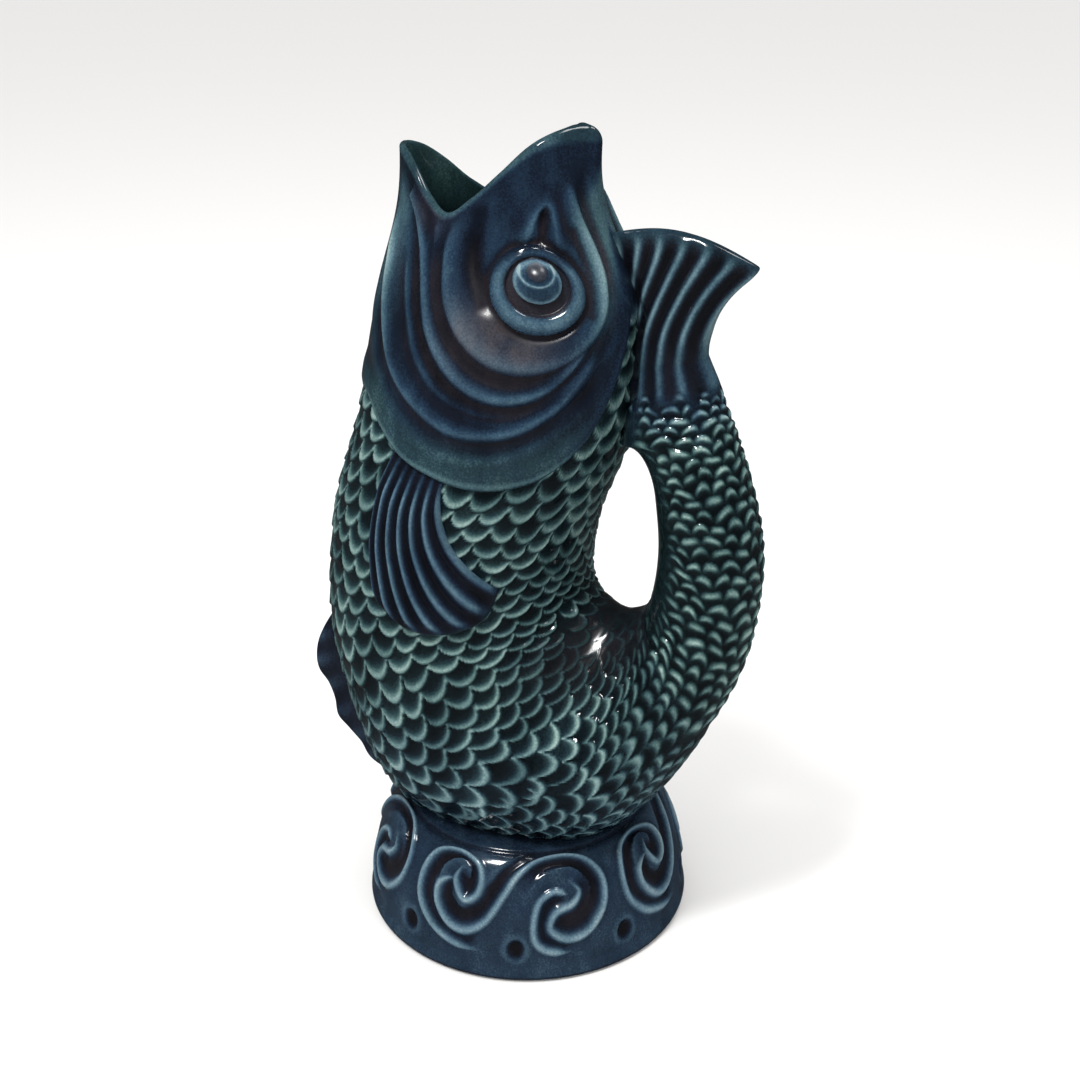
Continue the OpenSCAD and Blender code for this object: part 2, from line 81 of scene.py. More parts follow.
foot_warm, channel_warm, foot_sea = 0.10, 0.55, 0.06


def along(table, t):
    """Catmull-Rom curve: a cubic through the rows of a table, t from 0 at the first row to 1 at the last."""
    table = np.asarray(table, float)
    last = len(table) - 1
    x = np.asarray(t, float) * last
    i = np.clip(np.floor(x), 0, last - 1).astype(int)
    first, final = i == 0, i == last - 1
    f = x - i
    p1, p2 = table[i], table[i + 1]
    p0, p3 = table[np.maximum(i - 1, 0)], table[np.minimum(i + 2, last)]
    if table.ndim > 1:
        f, first, final = f[..., None], first[..., None], final[..., None]
    p0 = np.where(first, 2 * p1 - p2, p0)
    p3 = np.where(final, 2 * p2 - p1, p3)
    return (2 * p1 + (p2 - p0) * f + (2 * p0 - 5 * p1 + 4 * p2 - p3) * f**2
            + (3 * p1 - p0 - 3 * p2 + p3) * f**3) / 2


def ease(low, high, x):
    """Smooth step: 0 below low, 1 above high, a cubic between."""
    t = np.clip((np.asarray(x, float) - low) / (high - low), 0, 1)
    return t * t * (3 - 2 * t)


def bell(x):
    """Bell curve: 1 in the middle, falling off with the square of x."""
    return np.exp(-(x * x))


def from_line(x, y, corners):
    """Distance from each point to a smooth line through the corners, the share along the line of the nearest point,
    and which side of the line it is on: the least distance over the line's short straight steps."""
    line = along(corners, np.linspace(0, 1, line_steps * (len(corners) - 1) + 1))
    nearest = np.full(x.shape, np.inf)
    share, side = np.zeros(x.shape), np.zeros(x.shape)
    for i, (a, b) in enumerate(zip(line[:-1], line[1:])):
        d = b - a
        t = np.clip(((x - a[0]) * d[0] + (y - a[1]) * d[1]) / (d @ d), 0, 1)
        gap = (x - a[0] - t * d[0]) ** 2 + (y - a[1] - t * d[1]) ** 2
        better = gap < nearest
        nearest = np.where(better, gap, nearest)
        share = np.where(better, (i + t) / (len(line) - 1), share)
        side = np.where(better, np.sign(d[0] * (y - a[1]) - d[1] * (x - a[0])), side)
    return np.sqrt(nearest), share, side


def stands_out(height, passes):
    """How far each point stands out from its surroundings: its height less the height averaged again and again with
    the neighbours. Wet glaze runs off what stands out and pools where this is negative."""
    mean = height
    for _ in range(passes):
        tall = np.concatenate([mean[:1], mean, mean[-1:]])
        mean = (np.roll(mean, 1, 1) + np.roll(mean, -1, 1) + tall[:-2] + tall[2:]) / 4
    return height - mean


def sew(name, rows, looped=False, **fields):
    """Mesh over rows of points that close round: four-sided cells between neighbours. The last row joins the first
    if looped, and otherwise both end rows are filled by a strip from each point to the one across."""
    m, n = rows.shape[:2]
    i, j = np.meshgrid(np.arange(m if looped else m - 1), np.arange(n), indexing="ij")
    nxt, up = (j + 1) % n, (i + 1) % m
    cells = [np.stack([i * n + j, i * n + nxt, up * n + nxt, up * n + j], -1).reshape(-1, 4)]
    if not looped:
        k = np.arange(n // 2 - 1)
        strip = np.stack([k, k + 1, n - 2 - k, n - 1 - k], -1)
        cells += [strip[:, ::-1], strip + (m - 1) * n]
    mesh = bpy.data.meshes.new(name)
    mesh.from_pydata(rows.reshape(-1, 3) * MM, [], np.concatenate(cells).tolist())
    for field, values in fields.items():
        flat = np.ascontiguousarray(np.broadcast_to(values, (m, n)), np.float32).ravel()
        mesh.attributes.new(field, "FLOAT", "POINT").data.foreach_set("value", flat)
    mesh.shade_smooth()
    mesh.set_sharp_from_angle(angle=cap_crease)
    piece = bpy.data.objects.new(name, mesh)
    bpy.context.scene.collection.objects.link(piece)
    return piece


def scroll_relief(turn, rise):
    """Height of the wave scrolls, 0 in the channels and 1 on the ridges, from the turn round the foot and the rise
    up its wall in degrees, and how near the crest is: a ridge is two bell curves of the distance to its line, with
    a hollow along its inner side and level land along its outer side. The turn is stretched a little towards the
    back so that four scrolls close the ring."""
    full = 2 * np.pi
    wanted = np.radians(turn - scroll_front)
    y = wanted.copy()
    squeeze = 1 - scroll_period * scroll_count / 360
    for _ in range(squeeze_passes):
        y = wanted + squeeze * np.sin(y)
    x = scroll_front + y / full * scroll_period * scroll_count
    x = (x + scroll_lead) % scroll_period - scroll_lead
    flat = np.array([foot_mm_per_degree, wall_mm_per_degree])
    px, py = x * flat[0], rise * flat[1]
    ridge, dots = np.full(x.shape, np.inf), np.full(x.shape, np.inf)
    hollow = np.zeros(x.shape)
    for shift in (-scroll_period, 0, scroll_period):
        move = np.array([shift, 0])
        for corners, flip in zip(scroll_ridges, scroll_hollow_flips):
            d, share, side = from_line(px, py, (np.array(corners) + move) * flat)
            lasts = ease(-0.02, 0.10, share) * ease(1.02, 0.90, share)
            ridge = np.minimum(ridge, d + ridge_end_drop * (1 - lasts))
            left = ease(flip + flip_w, flip - flip_w, share)
            inward = np.where(side > 0, left, 1 - left) * lasts
            hollow = np.maximum(hollow, inward * ease(hollow_from, hollow_to, d) * ease(channel_to, channel_from, d))
        for dx, dy in scroll_dots:
            dots = np.minimum(dots, np.hypot(px - (dx + shift) * flat[0], py - dy * flat[1]))
    band = np.maximum(shoulder_land * ease(shoulder_from, 90, rise), ease(skirt_to, skirt_from, rise))
    land = 1 - hollow * (1 - band) * (1 - ease(dot_r + dot_land, dot_r + dot_rim_w, dots))
    crest = bell(ridge / crest_w)
    land = land_share * land + dot_rim_h * bell((dots - dot_r - dot_rim_r) / dot_rim_w)
    height = np.maximum(ridge_share * bell(ridge / ridge_w) + (1 - ridge_share) * crest, land)
    pit = ease(dot_r + pit_out, dot_r - pit_in, dots)
    return height * (1 - pit), crest * (1 - pit)


blue_tones = [(0.0, (0.0025, 0.0035, 0.0060)), (0.24, (0.0060, 0.0105, 0.0210)), (0.44, (0.0130, 0.0290, 0.0540)),
              (0.64, (0.0400, 0.0820, 0.1230)), (0.84, (0.1120, 0.1900, 0.2480)), (1.0, (0.2600, 0.3600, 0.3950))]
green_tones = [(0.0, (0.0020, 0.0040, 0.0050)), (0.24, (0.0055, 0.0125, 0.0150)), (0.46, (0.0180, 0.0420, 0.0450)),
               (0.68, (0.0640, 0.1200, 0.1170)), (0.86, (0.1600, 0.2500, 0.2350)), (1.0, (0.3100, 0.4200, 0.3750))]
brown_tones = [(0.0, (0.0080, 0.0065, 0.0090)), (0.35, (0.0220, 0.0170, 0.0220)), (0.75, (0.0850, 0.0720, 0.0780))]
brown_patches = [(0.32, (0.35,) * 3), (0.62, (1.0,) * 3)]
run_scale, blotch_scale, speck_scale = 90, 170, 1700
run_stretch = (1, 1, 0.35)
run_share, speck_share, blotch_share = 0.52, 0.38, 0.5
gloss_least, gloss_blotch, brown_rough = 0.05, 0.10, 0.20
peel_strength, peel_depth = 0.05, 0.0006
glaze_ior, coat_weight, coat_rough = 1.5, 0.10, 0.03


def glaze(name):
    """Glossy pottery glaze. Each point's own thin value runs a colour ramp from pooled dark glaze to pale
    glaze on the ridges, and in places from painted shade to painted highlight; sea mixes the blue ramp with the green
    one, and warm brings out the brown of thick pools and of the painted reflections on lip and pupils. Noise drawn out
    downwards gives the runs of the glaze, and a fine one its specks. Brown pools are a little less glossy."""
    made = bpy.data.materials.new(name)
    made.use_nodes = True
    tree = made.node_tree
    tree.nodes.clear()

    def node(kind, **settings):
        n = tree.nodes.new(kind)
        for key, value in settings.items():
            setattr(n, key, value)
        return n

    def link(a, b):
        tree.links.new(a, b)

    def value_of(field):
        return node("ShaderNodeAttribute", attribute_name=field).outputs["Fac"]

    def math_of(operation, a, b):
        n = node("ShaderNodeMath", operation=operation)
        for socket, v in zip(n.inputs, (a, b)):
            if isinstance(v, (int, float)):
                socket.default_value = v
            else:
                link(v, socket)
        return n.outputs[0]

    def ramp(fac, stops):
        n = node("ShaderNodeValToRGB")
        while len(n.color_ramp.elements) < len(stops):
            n.color_ramp.elements.new(0.5)
        for element, (place, colour) in zip(n.color_ramp.elements, stops):
            element.position = place
            element.color = (*colour, 1)
        link(fac, n.inputs[0])
        return n.outputs[0]

    def mix(fac, a, b):
        n = node("ShaderNodeMix", data_type="RGBA")
        link(fac, n.inputs[0])
        for socket, v in zip((n.inputs[6], n.inputs[7]), (a, b)):
            if isinstance(v, tuple):
                socket.default_value = (*v, 1)
            else:
                link(v, socket)
        return n.outputs[2]

    place = node("ShaderNodeTexCoord").outputs["Object"]
    drawn = node("ShaderNodeMapping")
    drawn.inputs["Scale"].default_value = run_stretch
    link(place, drawn.inputs["Vector"])

    def noise(where, scale, detail, roughness):
        n = node("ShaderNodeTexNoise")
        n.inputs["Scale"].default_value = scale
        n.inputs["Detail"].default_value = detail
        n.inputs["Roughness"].default_value = roughness
        link(where, n.inputs["Vector"])
        return n.outputs["Fac"]

    def swing(fac, share):
        """A noise value moved to swing evenly about nought, times a share."""
        return math_of("MULTIPLY", math_of("SUBTRACT", fac, 0.5), share)

    runs, blotch = noise(drawn.outputs[0], run_scale, 4, 0.6), noise(place, blotch_scale, 3, 0.6)
    speck = noise(place, speck_scale, 2, 0.6)
    thin = math_of("ADD", value_of("thin"), swing(runs, run_share))
    thin = math_of("ADD", thin, swing(speck, speck_share))
    sea = math_of("ADD", value_of("sea"), swing(blotch, blotch_share))
    colour = mix(sea, ramp(thin, blue_tones), ramp(thin, green_tones))
    warmth = math_of("MULTIPLY", value_of("warm"), ramp(runs, brown_patches))
    colour = mix(warmth, colour, ramp(thin, brown_tones))
    bump = node("ShaderNodeBump")
    bump.inputs["Strength"].default_value = peel_strength
    bump.inputs["Distance"].default_value = peel_depth
    link(blotch, bump.inputs["Height"])
    shader = node("ShaderNodeBsdfPrincipled")
    link(colour, shader.inputs["Base Color"])
    gloss = math_of("ADD", math_of("MULTIPLY", blotch, gloss_blotch), gloss_least)
    gloss = math_of("ADD", math_of("MULTIPLY", value_of("warm"), brown_rough), gloss)
    link(gloss, shader.inputs["Roughness"])
    link(bump.outputs[0], shader.inputs["Normal"])
    shader.inputs["IOR"].default_value = glaze_ior
    shader.inputs["Coat Weight"].default_value = coat_weight
    shader.inputs["Coat Roughness"].default_value = coat_rough
    out = node("ShaderNodeOutputMaterial")
    link(shader.outputs[0], out.inputs[0])
    return made


def place_piece(piece, material, slot, *nodes):
    """Gives a piece its glaze and hangs it on the jug in place of its plain solid."""
    piece.data.materials.append(material)
    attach(piece, "root")
    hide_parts(*nodes)


blue_glaze = glaze("blue_glaze")
turn = np.linspace(0, 360, foot_columns, endpoint=False)
rise = np.linspace(0, 90, foot_rows)
TURN, RISE = np.meshgrid(np.where(turn > 180 + scroll_front, turn - 360, turn), rise)
height, crest = scroll_relief(TURN, RISE)
carve = scroll_depth * (1 - height) * ease(0, carve_from, RISE) * ease(90, carve_to, RISE)
wall_h = foot_h - foot_edge_r


def foot_ring(r, z):
    """One ring of the revolved foot: radius r at height z, turned from the near side towards the tail."""
    a = np.radians(turn)
    return np.stack([r * np.sin(a), -r * np.cos(a), np.broadcast_to(z, a.shape)], -1)


rad = np.radians(rise)[:, None]
bulge_r = foot_top_r + (foot_r - foot_top_r) * np.cos(rad)
bulge_z = foot_edge_r + wall_h * np.sin(rad)
slope = np.hypot(wall_h * np.cos(rad), (foot_r - foot_top_r) * np.sin(rad))
outer_r = bulge_r - carve * wall_h * np.cos(rad) / slope
outer_z = bulge_z - carve * (foot_r - foot_top_r) * np.sin(rad) / slope
a = np.radians(turn)[None]
outer = np.stack([outer_r * np.sin(a), -outer_r * np.cos(a), outer_z + 0 * a], -1)
edge = [foot_ring(foot_r - foot_edge_r * (1 - np.sin(t)), foot_edge_r * (1 - np.cos(t)))
        for t in np.linspace(0, np.pi / 2, 7)[:-1]]
well_top, well_floor = np.arcsin((wall_h - foot_wall) / wall_h), np.arcsin((foot_wall - foot_edge_r) / wall_h)
inside = [foot_ring(passage_r, foot_h), foot_ring(passage_r, foot_h - foot_wall)]
inside += [foot_ring(foot_top_r + (foot_r - foot_top_r) * np.cos(t) - foot_wall, foot_edge_r + wall_h * np.sin(t))
           for t in np.linspace(well_top, well_floor, 9)]
rows = np.concatenate([np.array(edge), outer, np.array(inside)])
proud = stands_out(-carve, foot_pool_passes)
pad, hidden = np.zeros((len(edge), foot_columns)), np.zeros((len(inside), foot_columns))
thin = foot_tone + ridge_tone * height + scroll_crest_tone * crest
thin = thin + foot_pool_tone * np.tanh(proud / pool_depth) * ease(4, skirt_to, RISE)
thin = thin - shoulder_shade * ease(74, shoulder_from, RISE) * (1 - crest)
thin = np.concatenate([pad + skirt_tone, thin, hidden + hidden_tone])
warm = np.concatenate([pad + foot_warm, foot_warm + channel_warm * ease(0.35, 0.05, height), hidden])
foot = sew("foot_relief", rows, thin=thin, warm=warm, sea=foot_sea)
place_piece(foot, blue_glaze, "blue_glaze", "foot")

# Body: the fish's hollow trunk, cast with overlapping scales that all point to the tail, and
# glazed green, so that the glaze runs thin and pale on each scale's edge and pools dark between.
fish_h = 215.0
fish_l = 142.0
fish_w = 84.0
wall = 4.0
floor_t = 4.0
rib_shares = [
    [0.169, 1.037, -0.285, 1.037, 0.131, -0.20],
    [0.168, 0.902, -0.285, 0.898, 0.208, -0.18],
    [0.2515, 0.772, -0.335, 0.763, 0.333, -0.05],
    [0.2415, 0.614, -0.380, 0.600, 0.411, 0.00],
    [0.158, 0.460, -0.447, 0.428, 0.470, 0.05],
    [0.141, 0.363, -0.440, 0.209, 0.488, 0.12],
    [0.194, 0.335, -0.246, -0.028, 0.458, 0.30],
    [0.246, 0.335, 0.218, -0.019, 0.375, 0.35],
    [0.296, 0.363, 0.472, 0.219, 0.244, 0.10],
    [0.316, 0.451, 0.535, 0.433, 0.202, 0.00],
    [0.296, 0.570, 0.472, 0.605, 0.173, 0.00],
    [0.272, 0.702, 0.394, 0.721, 0.107, 0.00],
]
rib_steps = len(rib_shares) - 1
gill_shares = [0.1345, 0.2045, 0.2682, 0.2982, 0.3073, 0.3064, 0.2991, 0.2891, 0.2727, 0.2555, 0.2500, 0.2455, 0.2382]
tail_joint_share = 0.7273
web_from_share, web_to_share = 0.8750, 0.9255
web_seat = 2.0
web_round = 2.6
back_from_share, back_to_share = 0.40, 0.09
body_columns = 372
body_rows = 244
inner_rows = 12
gill_tuck, gill_tuck_share = 0.7, 0.010
row_step, tail_row_step = 0.180, 0.110
tail_rows_from, tail_rows_to = 6.9, 8.3
scale_columns, tail_scale_columns = 31, 16
knob_from, knob_to = 6.6, 8.2
scale_out = 0.35
scale_depth, tail_scale_depth = 1.55, 1.0
scale_reach, scale_round = 1.75, 0.85
knob_reach, knob_round = 1.40, 0.60
scale_root_h, scale_rise_h, scale_lip_h, scale_dish_h = 0.10, 0.76, 0.14, 0.30
knob_root_h, knob_dome_h = 0.14, 0.70
row_wave, row_ripple, column_wave = 0.15, 0.12, 0.12
chance_size, chance_row, chance_column = 43758.5453, 12.9898, 78.233
scale_chance_h, scale_chance_reach, knob_chance_reach, rank_rise = 0.10, 0.18, 0.20, 0.4
scale_lip, scale_dish, scale_dome = (0.21, 0.24), (0.66, 0.30), (0.40, 0.32)
scale_tone, scale_lip_tone, scale_back_tone, scale_chance_tone = 0.09, 0.62, 0.20, 0.20
knob_tone, dome_tone, knob_lip_tone = 0.03, 0.74, 0.12
bare_tone, bare_high, bare_pale = 0.15, 0.3, 0.12
inside_tone = 0.3
crook_smooth, crook_bare, crook_warm, crook_shade = 0.92, 0.60, 0.65, 0.10
body_sea, low_blue, nape_blue, nape_pale = 0.90, 0.30, 0.8, 0.03
belly_seat = 0.2
# Each set of rows: its coarseness, and the least and most mm between rows of the plain set where it shows.
scale_sets = ((1.0, 2.6, 8.8), (2.0, 0.0, 2.6), (0.66, 8.8, 12.0), (0.45, 12.0, 99.0))
rib_scale = np.array([fish_l, fish_h, fish_l, fish_h, fish_w, 1])
rib_base = np.array([0, foot_h, 0, foot_h, 0, 0])
back_line = (along(rib_shares, np.linspace(back_from_share, back_to_share, 65)) * rib_scale + rib_base)[:, :2]


def rib(place):
    """One rib of the fish in mm: back x, back z, belly x, belly z, half width, fuller belly side. Over the handle's
    eye the tail's ribs begin a little inside the fish's own back, to which they close in a rounded corner."""
    r = along(rib_shares, place) * rib_scale + rib_base
    to_back = np.interp(r[..., 1], back_line[:, 1], back_line[:, 0])
    u = np.clip((place - web_from_share) / (web_to_share - web_from_share), 0, 1)
    r[..., 0] += (to_back - web_seat - r[..., 0]) * (1 - (1 - u**web_round) ** (1 / web_round))
    return r


def skin(place, angle, depth=0.0):
    """Point of the skin at a share of the fish's length and an angle in degrees round from the back: the rib's two
    ends are drawn in by the depth, the cosine runs between them, and the sine gives the half width."""
    r, a = rib(place), np.radians(angle)
    span = np.hypot(r[..., 2] - r[..., 0], r[..., 3] - r[..., 1])
    k = (1 - np.cos(a)) / 2
    k = k + (1 - 2 * k) * depth / span
    x = r[..., 0] + (r[..., 2] - r[..., 0]) * k
    z = r[..., 1] + (r[..., 3] - r[..., 1]) * k
    return np.stack([x, -(r[..., 4] * (1 - r[..., 5] * np.cos(a)) - depth) * np.sin(a), z], -1)


def from_back(angle):
    """Angle from the back line in degrees, 0 to 180, the same on both sides."""
    return np.abs((np.asarray(angle, float) + 180) % 360 - 180)


def round_the_fish(table, angle):
    """Value of a table given at even angles from back to belly, the same on both sides."""
    return along(table, from_back(angle) / 180)


step_places = np.linspace(0, 1, 2001)
closer = ease(tail_rows_from, tail_rows_to, step_places * rib_steps)
row_spacing = (row_step + (tail_row_step - row_step) * closer) / rib_steps
row_numbers = np.concatenate([[0], np.cumsum(np.diff(step_places) / row_spacing[1:])])


def row_mm(place, angle):
    """Distance between rows of scales on the skin in mm, from the length of skin per share of the fish's length."""
    step = 0.002
    stretch = np.linalg.norm(skin(place + step, angle) - skin(place - step, angle), axis=-1) / (2 * step)
    return stretch * np.interp(place, step_places, row_spacing)


table_places, table_angles = 221, 61
row_mm_table = row_mm(*np.meshgrid(np.linspace(0, 1, table_places), np.linspace(0, 180, table_angles), indexing="ij"))


def scale_rows(place, angle, coarse, least, most):
    """Rank, height and paleness of the scales. Rows count up towards the tail, each half a scale off the last; a
    scale rises from its root to a rounded free edge with a lip, is dished behind it, and covers the root of the next,
    which its rank tells. On the tail it is a low oval knob. A chance value of each scale, the fraction of a large
    sine, makes no two alike. Only scales whose own place has its rows between least and most mm apart are there."""
    side = np.radians(angle)
    u = np.interp(place, step_places, row_numbers) / coarse
    u = u + row_wave * np.sin(5 * side + 0.9 * u) + row_ripple * np.sin(11 * side - 0.5 * u + 1)
    rank, high, pale = np.full(place.shape, -1.0), np.zeros(place.shape), np.zeros(place.shape)
    for back in range(3):
        row = np.floor(u) - back
        a = u - row
        at = np.interp(row * coarse, row_numbers, step_places)
        knob = ease(knob_from, knob_to, at * rib_steps)
        fewer = ease(tail_rows_from, tail_rows_to + 0.3, at * rib_steps)
        count = np.round(scale_columns + (tail_scale_columns - scale_columns) * fewer)
        shift = 0.5 * (row % 2)
        q = angle / 360 * count + shift + column_wave * np.sin(1.7 * row + 4 * side)
        column = np.floor(q)
        b = 2 * (q - column) - 1
        chance = chance_size * np.sin(chance_row * row + chance_column * (column % count))
        chance = chance - np.floor(chance)
        arch = 1 - np.sqrt(np.clip(1 - b * b, 0, 1))
        reach = scale_reach - scale_chance_reach * chance - scale_round * arch
        on_tail = knob_reach - knob_chance_reach * chance - knob_round * arch
        e = reach + (on_tail - reach) * knob - a
        lip, dish, dome = (bell((e - at_edge) / w) for at_edge, w in (scale_lip, scale_dish, scale_dome))
        dish, dome = dish * (1 - b * b), dome * bell((b / 0.88) ** 2)
        up = scale_root_h + scale_rise_h * a / scale_reach + scale_lip_h * lip - scale_dish_h * dish
        up = up + (knob_root_h + knob_dome_h * dome - up) * knob + scale_chance_h * (chance - 0.5)
        tone = scale_tone + scale_lip_tone * lip + scale_back_tone * bell((e - 0.48) / 0.32)
        on_tail = knob_tone + dome_tone * dome + knob_lip_tone * lip * bell(b / 0.8)
        tone = tone + (on_tail - tone) * knob + scale_chance_tone * (chance - 0.5)
        middle = from_back((column + 0.5 - shift) * 360 / count)
        nearest = at.clip(0, 1) * (table_places - 1), middle / 180 * (table_angles - 1)
        spacing = row_mm_table[tuple(np.rint(i).astype(int) for i in nearest)]
        covers = ease(-0.12, 0.10 + 0.10 * knob, e)
        over = (up + rank_rise * coarse * a * (1 - knob)) * covers
        over = np.where((spacing >= least) & (spacing < most), over, -1)
        top = over > rank
        rank = np.where(top, over, rank)
        high = np.where(top, up * covers, high)
        # Paleness fades out at each scale's very edge and the step below it: pooled glaze and painted shadow.
        pale = np.where(top, tone * ease(-0.10, 0.14, e), pale)
    return rank, high, pale


def scales(place, angle):
    """Height and paleness of the scales, and how much of them shows: where the bend crowds the rows together every
    second one is left out, where it spreads them more rows come between, and in the crook itself they die away."""
    rank, high, pale = np.zeros(place.shape), np.full(place.shape, bare_high), np.full(place.shape, bare_pale)
    for rows in scale_sets:
        over, h, tone = scale_rows(place, angle, *rows)
        high = np.where(over > rank, h, high)
        pale = np.where(over > rank, tone, pale)
        rank = np.maximum(over, rank)
    return high, pale, scale_cover(place, angle) * ease(0.9, 2.2, row_mm(place, angle))


def scale_cover(place, angle):
    """Where scales show: not on the bare nape and on the tail's inner face."""
    s = place * rib_steps
    side = from_back(angle)
    nape = ease(1.85, 2.15, s + 0.006 * side) + ease(14, 24, side)
    hole = ease(48, 78, side) + 1 - ease(7.7, 8.5, s) * ease(10.7, 10.4, s)
    return np.clip(nape, 0, 1) * np.clip(hole, 0, 1)


def in_crook(place, angle):
    """How deep a point lies in the crook of the bend, 0 to 1, where hands have worn the wet clay smooth."""
    s = place * rib_steps
    return ease(74, 36, from_back(angle)) * ease(5.2, 6.2, s) * ease(8.6, 7.6, s)


green_glaze = glaze("green_glaze")
angle = np.linspace(0, 360, body_columns, endpoint=False)
share = np.linspace(0, 1, body_rows)[:, None]
gill = round_the_fish(gill_shares, angle)
place = gill + (tail_joint_share - gill) * share
ANGLE = np.broadcast_to(angle, place.shape)
high, pale, cover = scales(place, ANGLE)
at_tail = ease(0.62, tail_joint_share, place)
crook = in_crook(place, ANGLE)
depth = scale_depth + (tail_scale_depth - scale_depth) * at_tail
depth = (depth * (1 - high) - scale_out * (1 - at_tail)) * cover * (1 - crook_smooth * crook)
outer = skin(place, ANGLE, depth + gill_tuck * ease(gill_tuck_share, 0.0, place - gill))
outer[..., 2] = np.maximum(outer[..., 2], foot_h - belly_seat)
inner_share = np.linspace(1, 0, inner_rows)[:, None]
inner_place = gill + (tail_joint_share - gill) * inner_share
inner = skin(inner_place, np.broadcast_to(angle, inner_place.shape), wall)
inner[..., 2] = np.maximum(inner[..., 2], foot_h + floor_t)
nape = ease(2.2, 1.9, place * rib_steps) * ease(26, 12, from_back(ANGLE))
hidden = np.zeros((inner_rows, body_columns))
cover = cover * (1 - crook_bare * crook)
bare = bare_tone - crook_shade * crook
thin = np.concatenate([pale * cover + bare * (1 - cover) + nape_pale * nape, hidden + inside_tone])
warm = np.concatenate([crook_warm * crook * (1 - pale), hidden])
low = ease(95, 45, outer[..., 2]) * low_blue
sea = np.concatenate([np.clip(body_sea - low - nape_blue * nape, 0, 1), hidden + 1])
body = sew("body_scales", np.concatenate([outer, inner]), looped=True, thin=thin, sea=sea, warm=warm)
place_piece(body, green_glaze, "green_glaze", "body")

# Head: open jaws as the spout, cast of the same clay in one with the cheeks, the brows and the gill
# folds, which sweep from the lower lip under the cheek and up to the nape, and glazed blue. It is
# luted to the trunk, where the gill cover's edge laps the scales.
rim_shares = [0.0240, 0.0240, 0.0240, 0.0282, 0.0400, 0.0615, 0.0832, 0.0980, 0.0858, 0.0672, 0.0551, 0.0502, 0.0490]
rim_round_share = 0.0045
lip_t, hood_lip_t, nose_lip_t, lip_blend = 2.2, 4.0, 10.5, 0.6
lip_rise, hood_rise, nose_rise = 0.75, 0.75, 1.8
nose_pinch, nose_pinch_share = 0.72, 0.085
nose_pinch_from, nose_pinch_to = 18, 58
head_columns = 320
head_rows = 250
mouth_rows = 26
lip_rows = 16
gill_lip = 0.7
mm_per_degree = 0.58
mm_per_rib = 30.0
eye_angle, eye_rib = 57.0, 1.70
eye_seat_r, eye_squash = 13.1, 0.95
eye_seat_w, eye_seat_depth = 1.6, 0.9
fold_inner_w, fold_outer_w = 1.7, 0.8
fold_trough, fold_trough_at = 0.40, 1.9
crest_inner_w, crest_outer_w = 0.70, 0.40
boss_at, boss_r = (80, 2.06), 9
low_boss_at, low_boss_r, low_boss_long = (62, 2.22), 4.5, 1.6
jaw_angle, jaw_w = 141, 17
strip_angle, strip_w = 118, 14
gill_line, gill_line_w, gill_edge_w = 0.985, 0.010, 0.0155
head_pool_passes = 40
head_tone, head_pool_tone, fold_tone, rim_tone = 0.25, 0.20, 0.22, 0.26
plate_tone, boss_glaze_and_highlight, jaw_sheen_tone, nape_tone, gill_tone = 0.18, 0.24, 0.36, 0.32, 0.16
plate_sea, rim_sea, throat_sea, nape_sea = 0.60, 0.35, 0.45, 0.5
pool_warm, boss_warm, lip_reflection_brown = 0.85, 0.95, 0.6
mouth_tone, mouth_rim_light, lip_tones, lip_seas, nose_shade = 0.10, 0.38, (0.46, 0.50), (0.9, 0.5), 0.12
# Each fold: its rise and width in mm, its paleness, and its line in degrees from the back and ribs from the nose.
head_folds = [
    (1.5, 2.0, 0.80, [(150, 0.80), (136, 0.90), (125, 1.08), (117, 1.33), (112, 1.62), (108, 1.9), (103, 2.14),
                      (95, 2.36), (85, 2.52), (75, 2.6), (65, 2.61), (55, 2.55), (47, 2.44), (40, 2.28), (33, 2.08)]),
    (1.5, 2.1, 0.75, [(152, 1.1), (147, 1.35), (142, 1.6), (137, 1.9), (130, 2.2), (122, 2.44), (112, 2.62),
                      (100, 2.77), (88, 2.88), (75, 2.91), (62, 2.86), (50, 2.71), (42, 2.54), (36, 2.38), (31, 2.2)]),
    (0.6, 1.2, 0.35, [(126, 1.5), (121, 1.8), (115, 2.1), (108, 2.36), (97, 2.58), (85, 2.7), (72, 2.76), (60, 2.73),
                      (50, 2.6)]),
    (0.5, 3.0, 0.15, [(158, 1.9), (150, 2.12), (140, 2.38), (128, 2.6), (114, 2.82), (98, 3.0), (84, 3.1), (68, 3.1),
                      (55, 2.98), (44, 2.78), (36, 2.6)]),
    (1.7, 2.4, 0.40, [(95, 1.1), (98.5, 1.3), (99, 1.5), (97, 1.8), (92, 2.02), (84, 2.2), (74, 2.32), (62, 2.36),
                      (50, 2.32), (40, 2.2), (31, 2.0), (26, 1.75), (23.5, 1.5), (24.5, 1.25), (28.5, 1.05), (33, 0.88),
                      (37, 0.75)]),
    (0.9, 1.8, 0.45, [(110, 0.98), (108, 1.2), (108, 1.5), (105, 1.8), (99, 2.06)]),
    (0.8, 1.5, 0.55, [(62, 1.40), (59, 1.24), (55.5, 1.10), (51.5, 0.98), (48, 0.93), (45, 0.98), (43.5, 1.1),
                      (43, 1.25), (42, 1.4)]),
]
# Each groove: its depth and width in mm, and its line.
head_grooves = [
    (1.1, 2.6, [(84, 1.05), (86, 1.3), (85, 1.6), (80, 1.86)]),
    (1.3, 1.4, [(48.5, 1.04), (50, 1.18), (52.5, 1.36)]),
    (0.8, 1.6, [(32, 1.2), (30, 1.5), (30.5, 1.7), (34, 1.95)]),
]


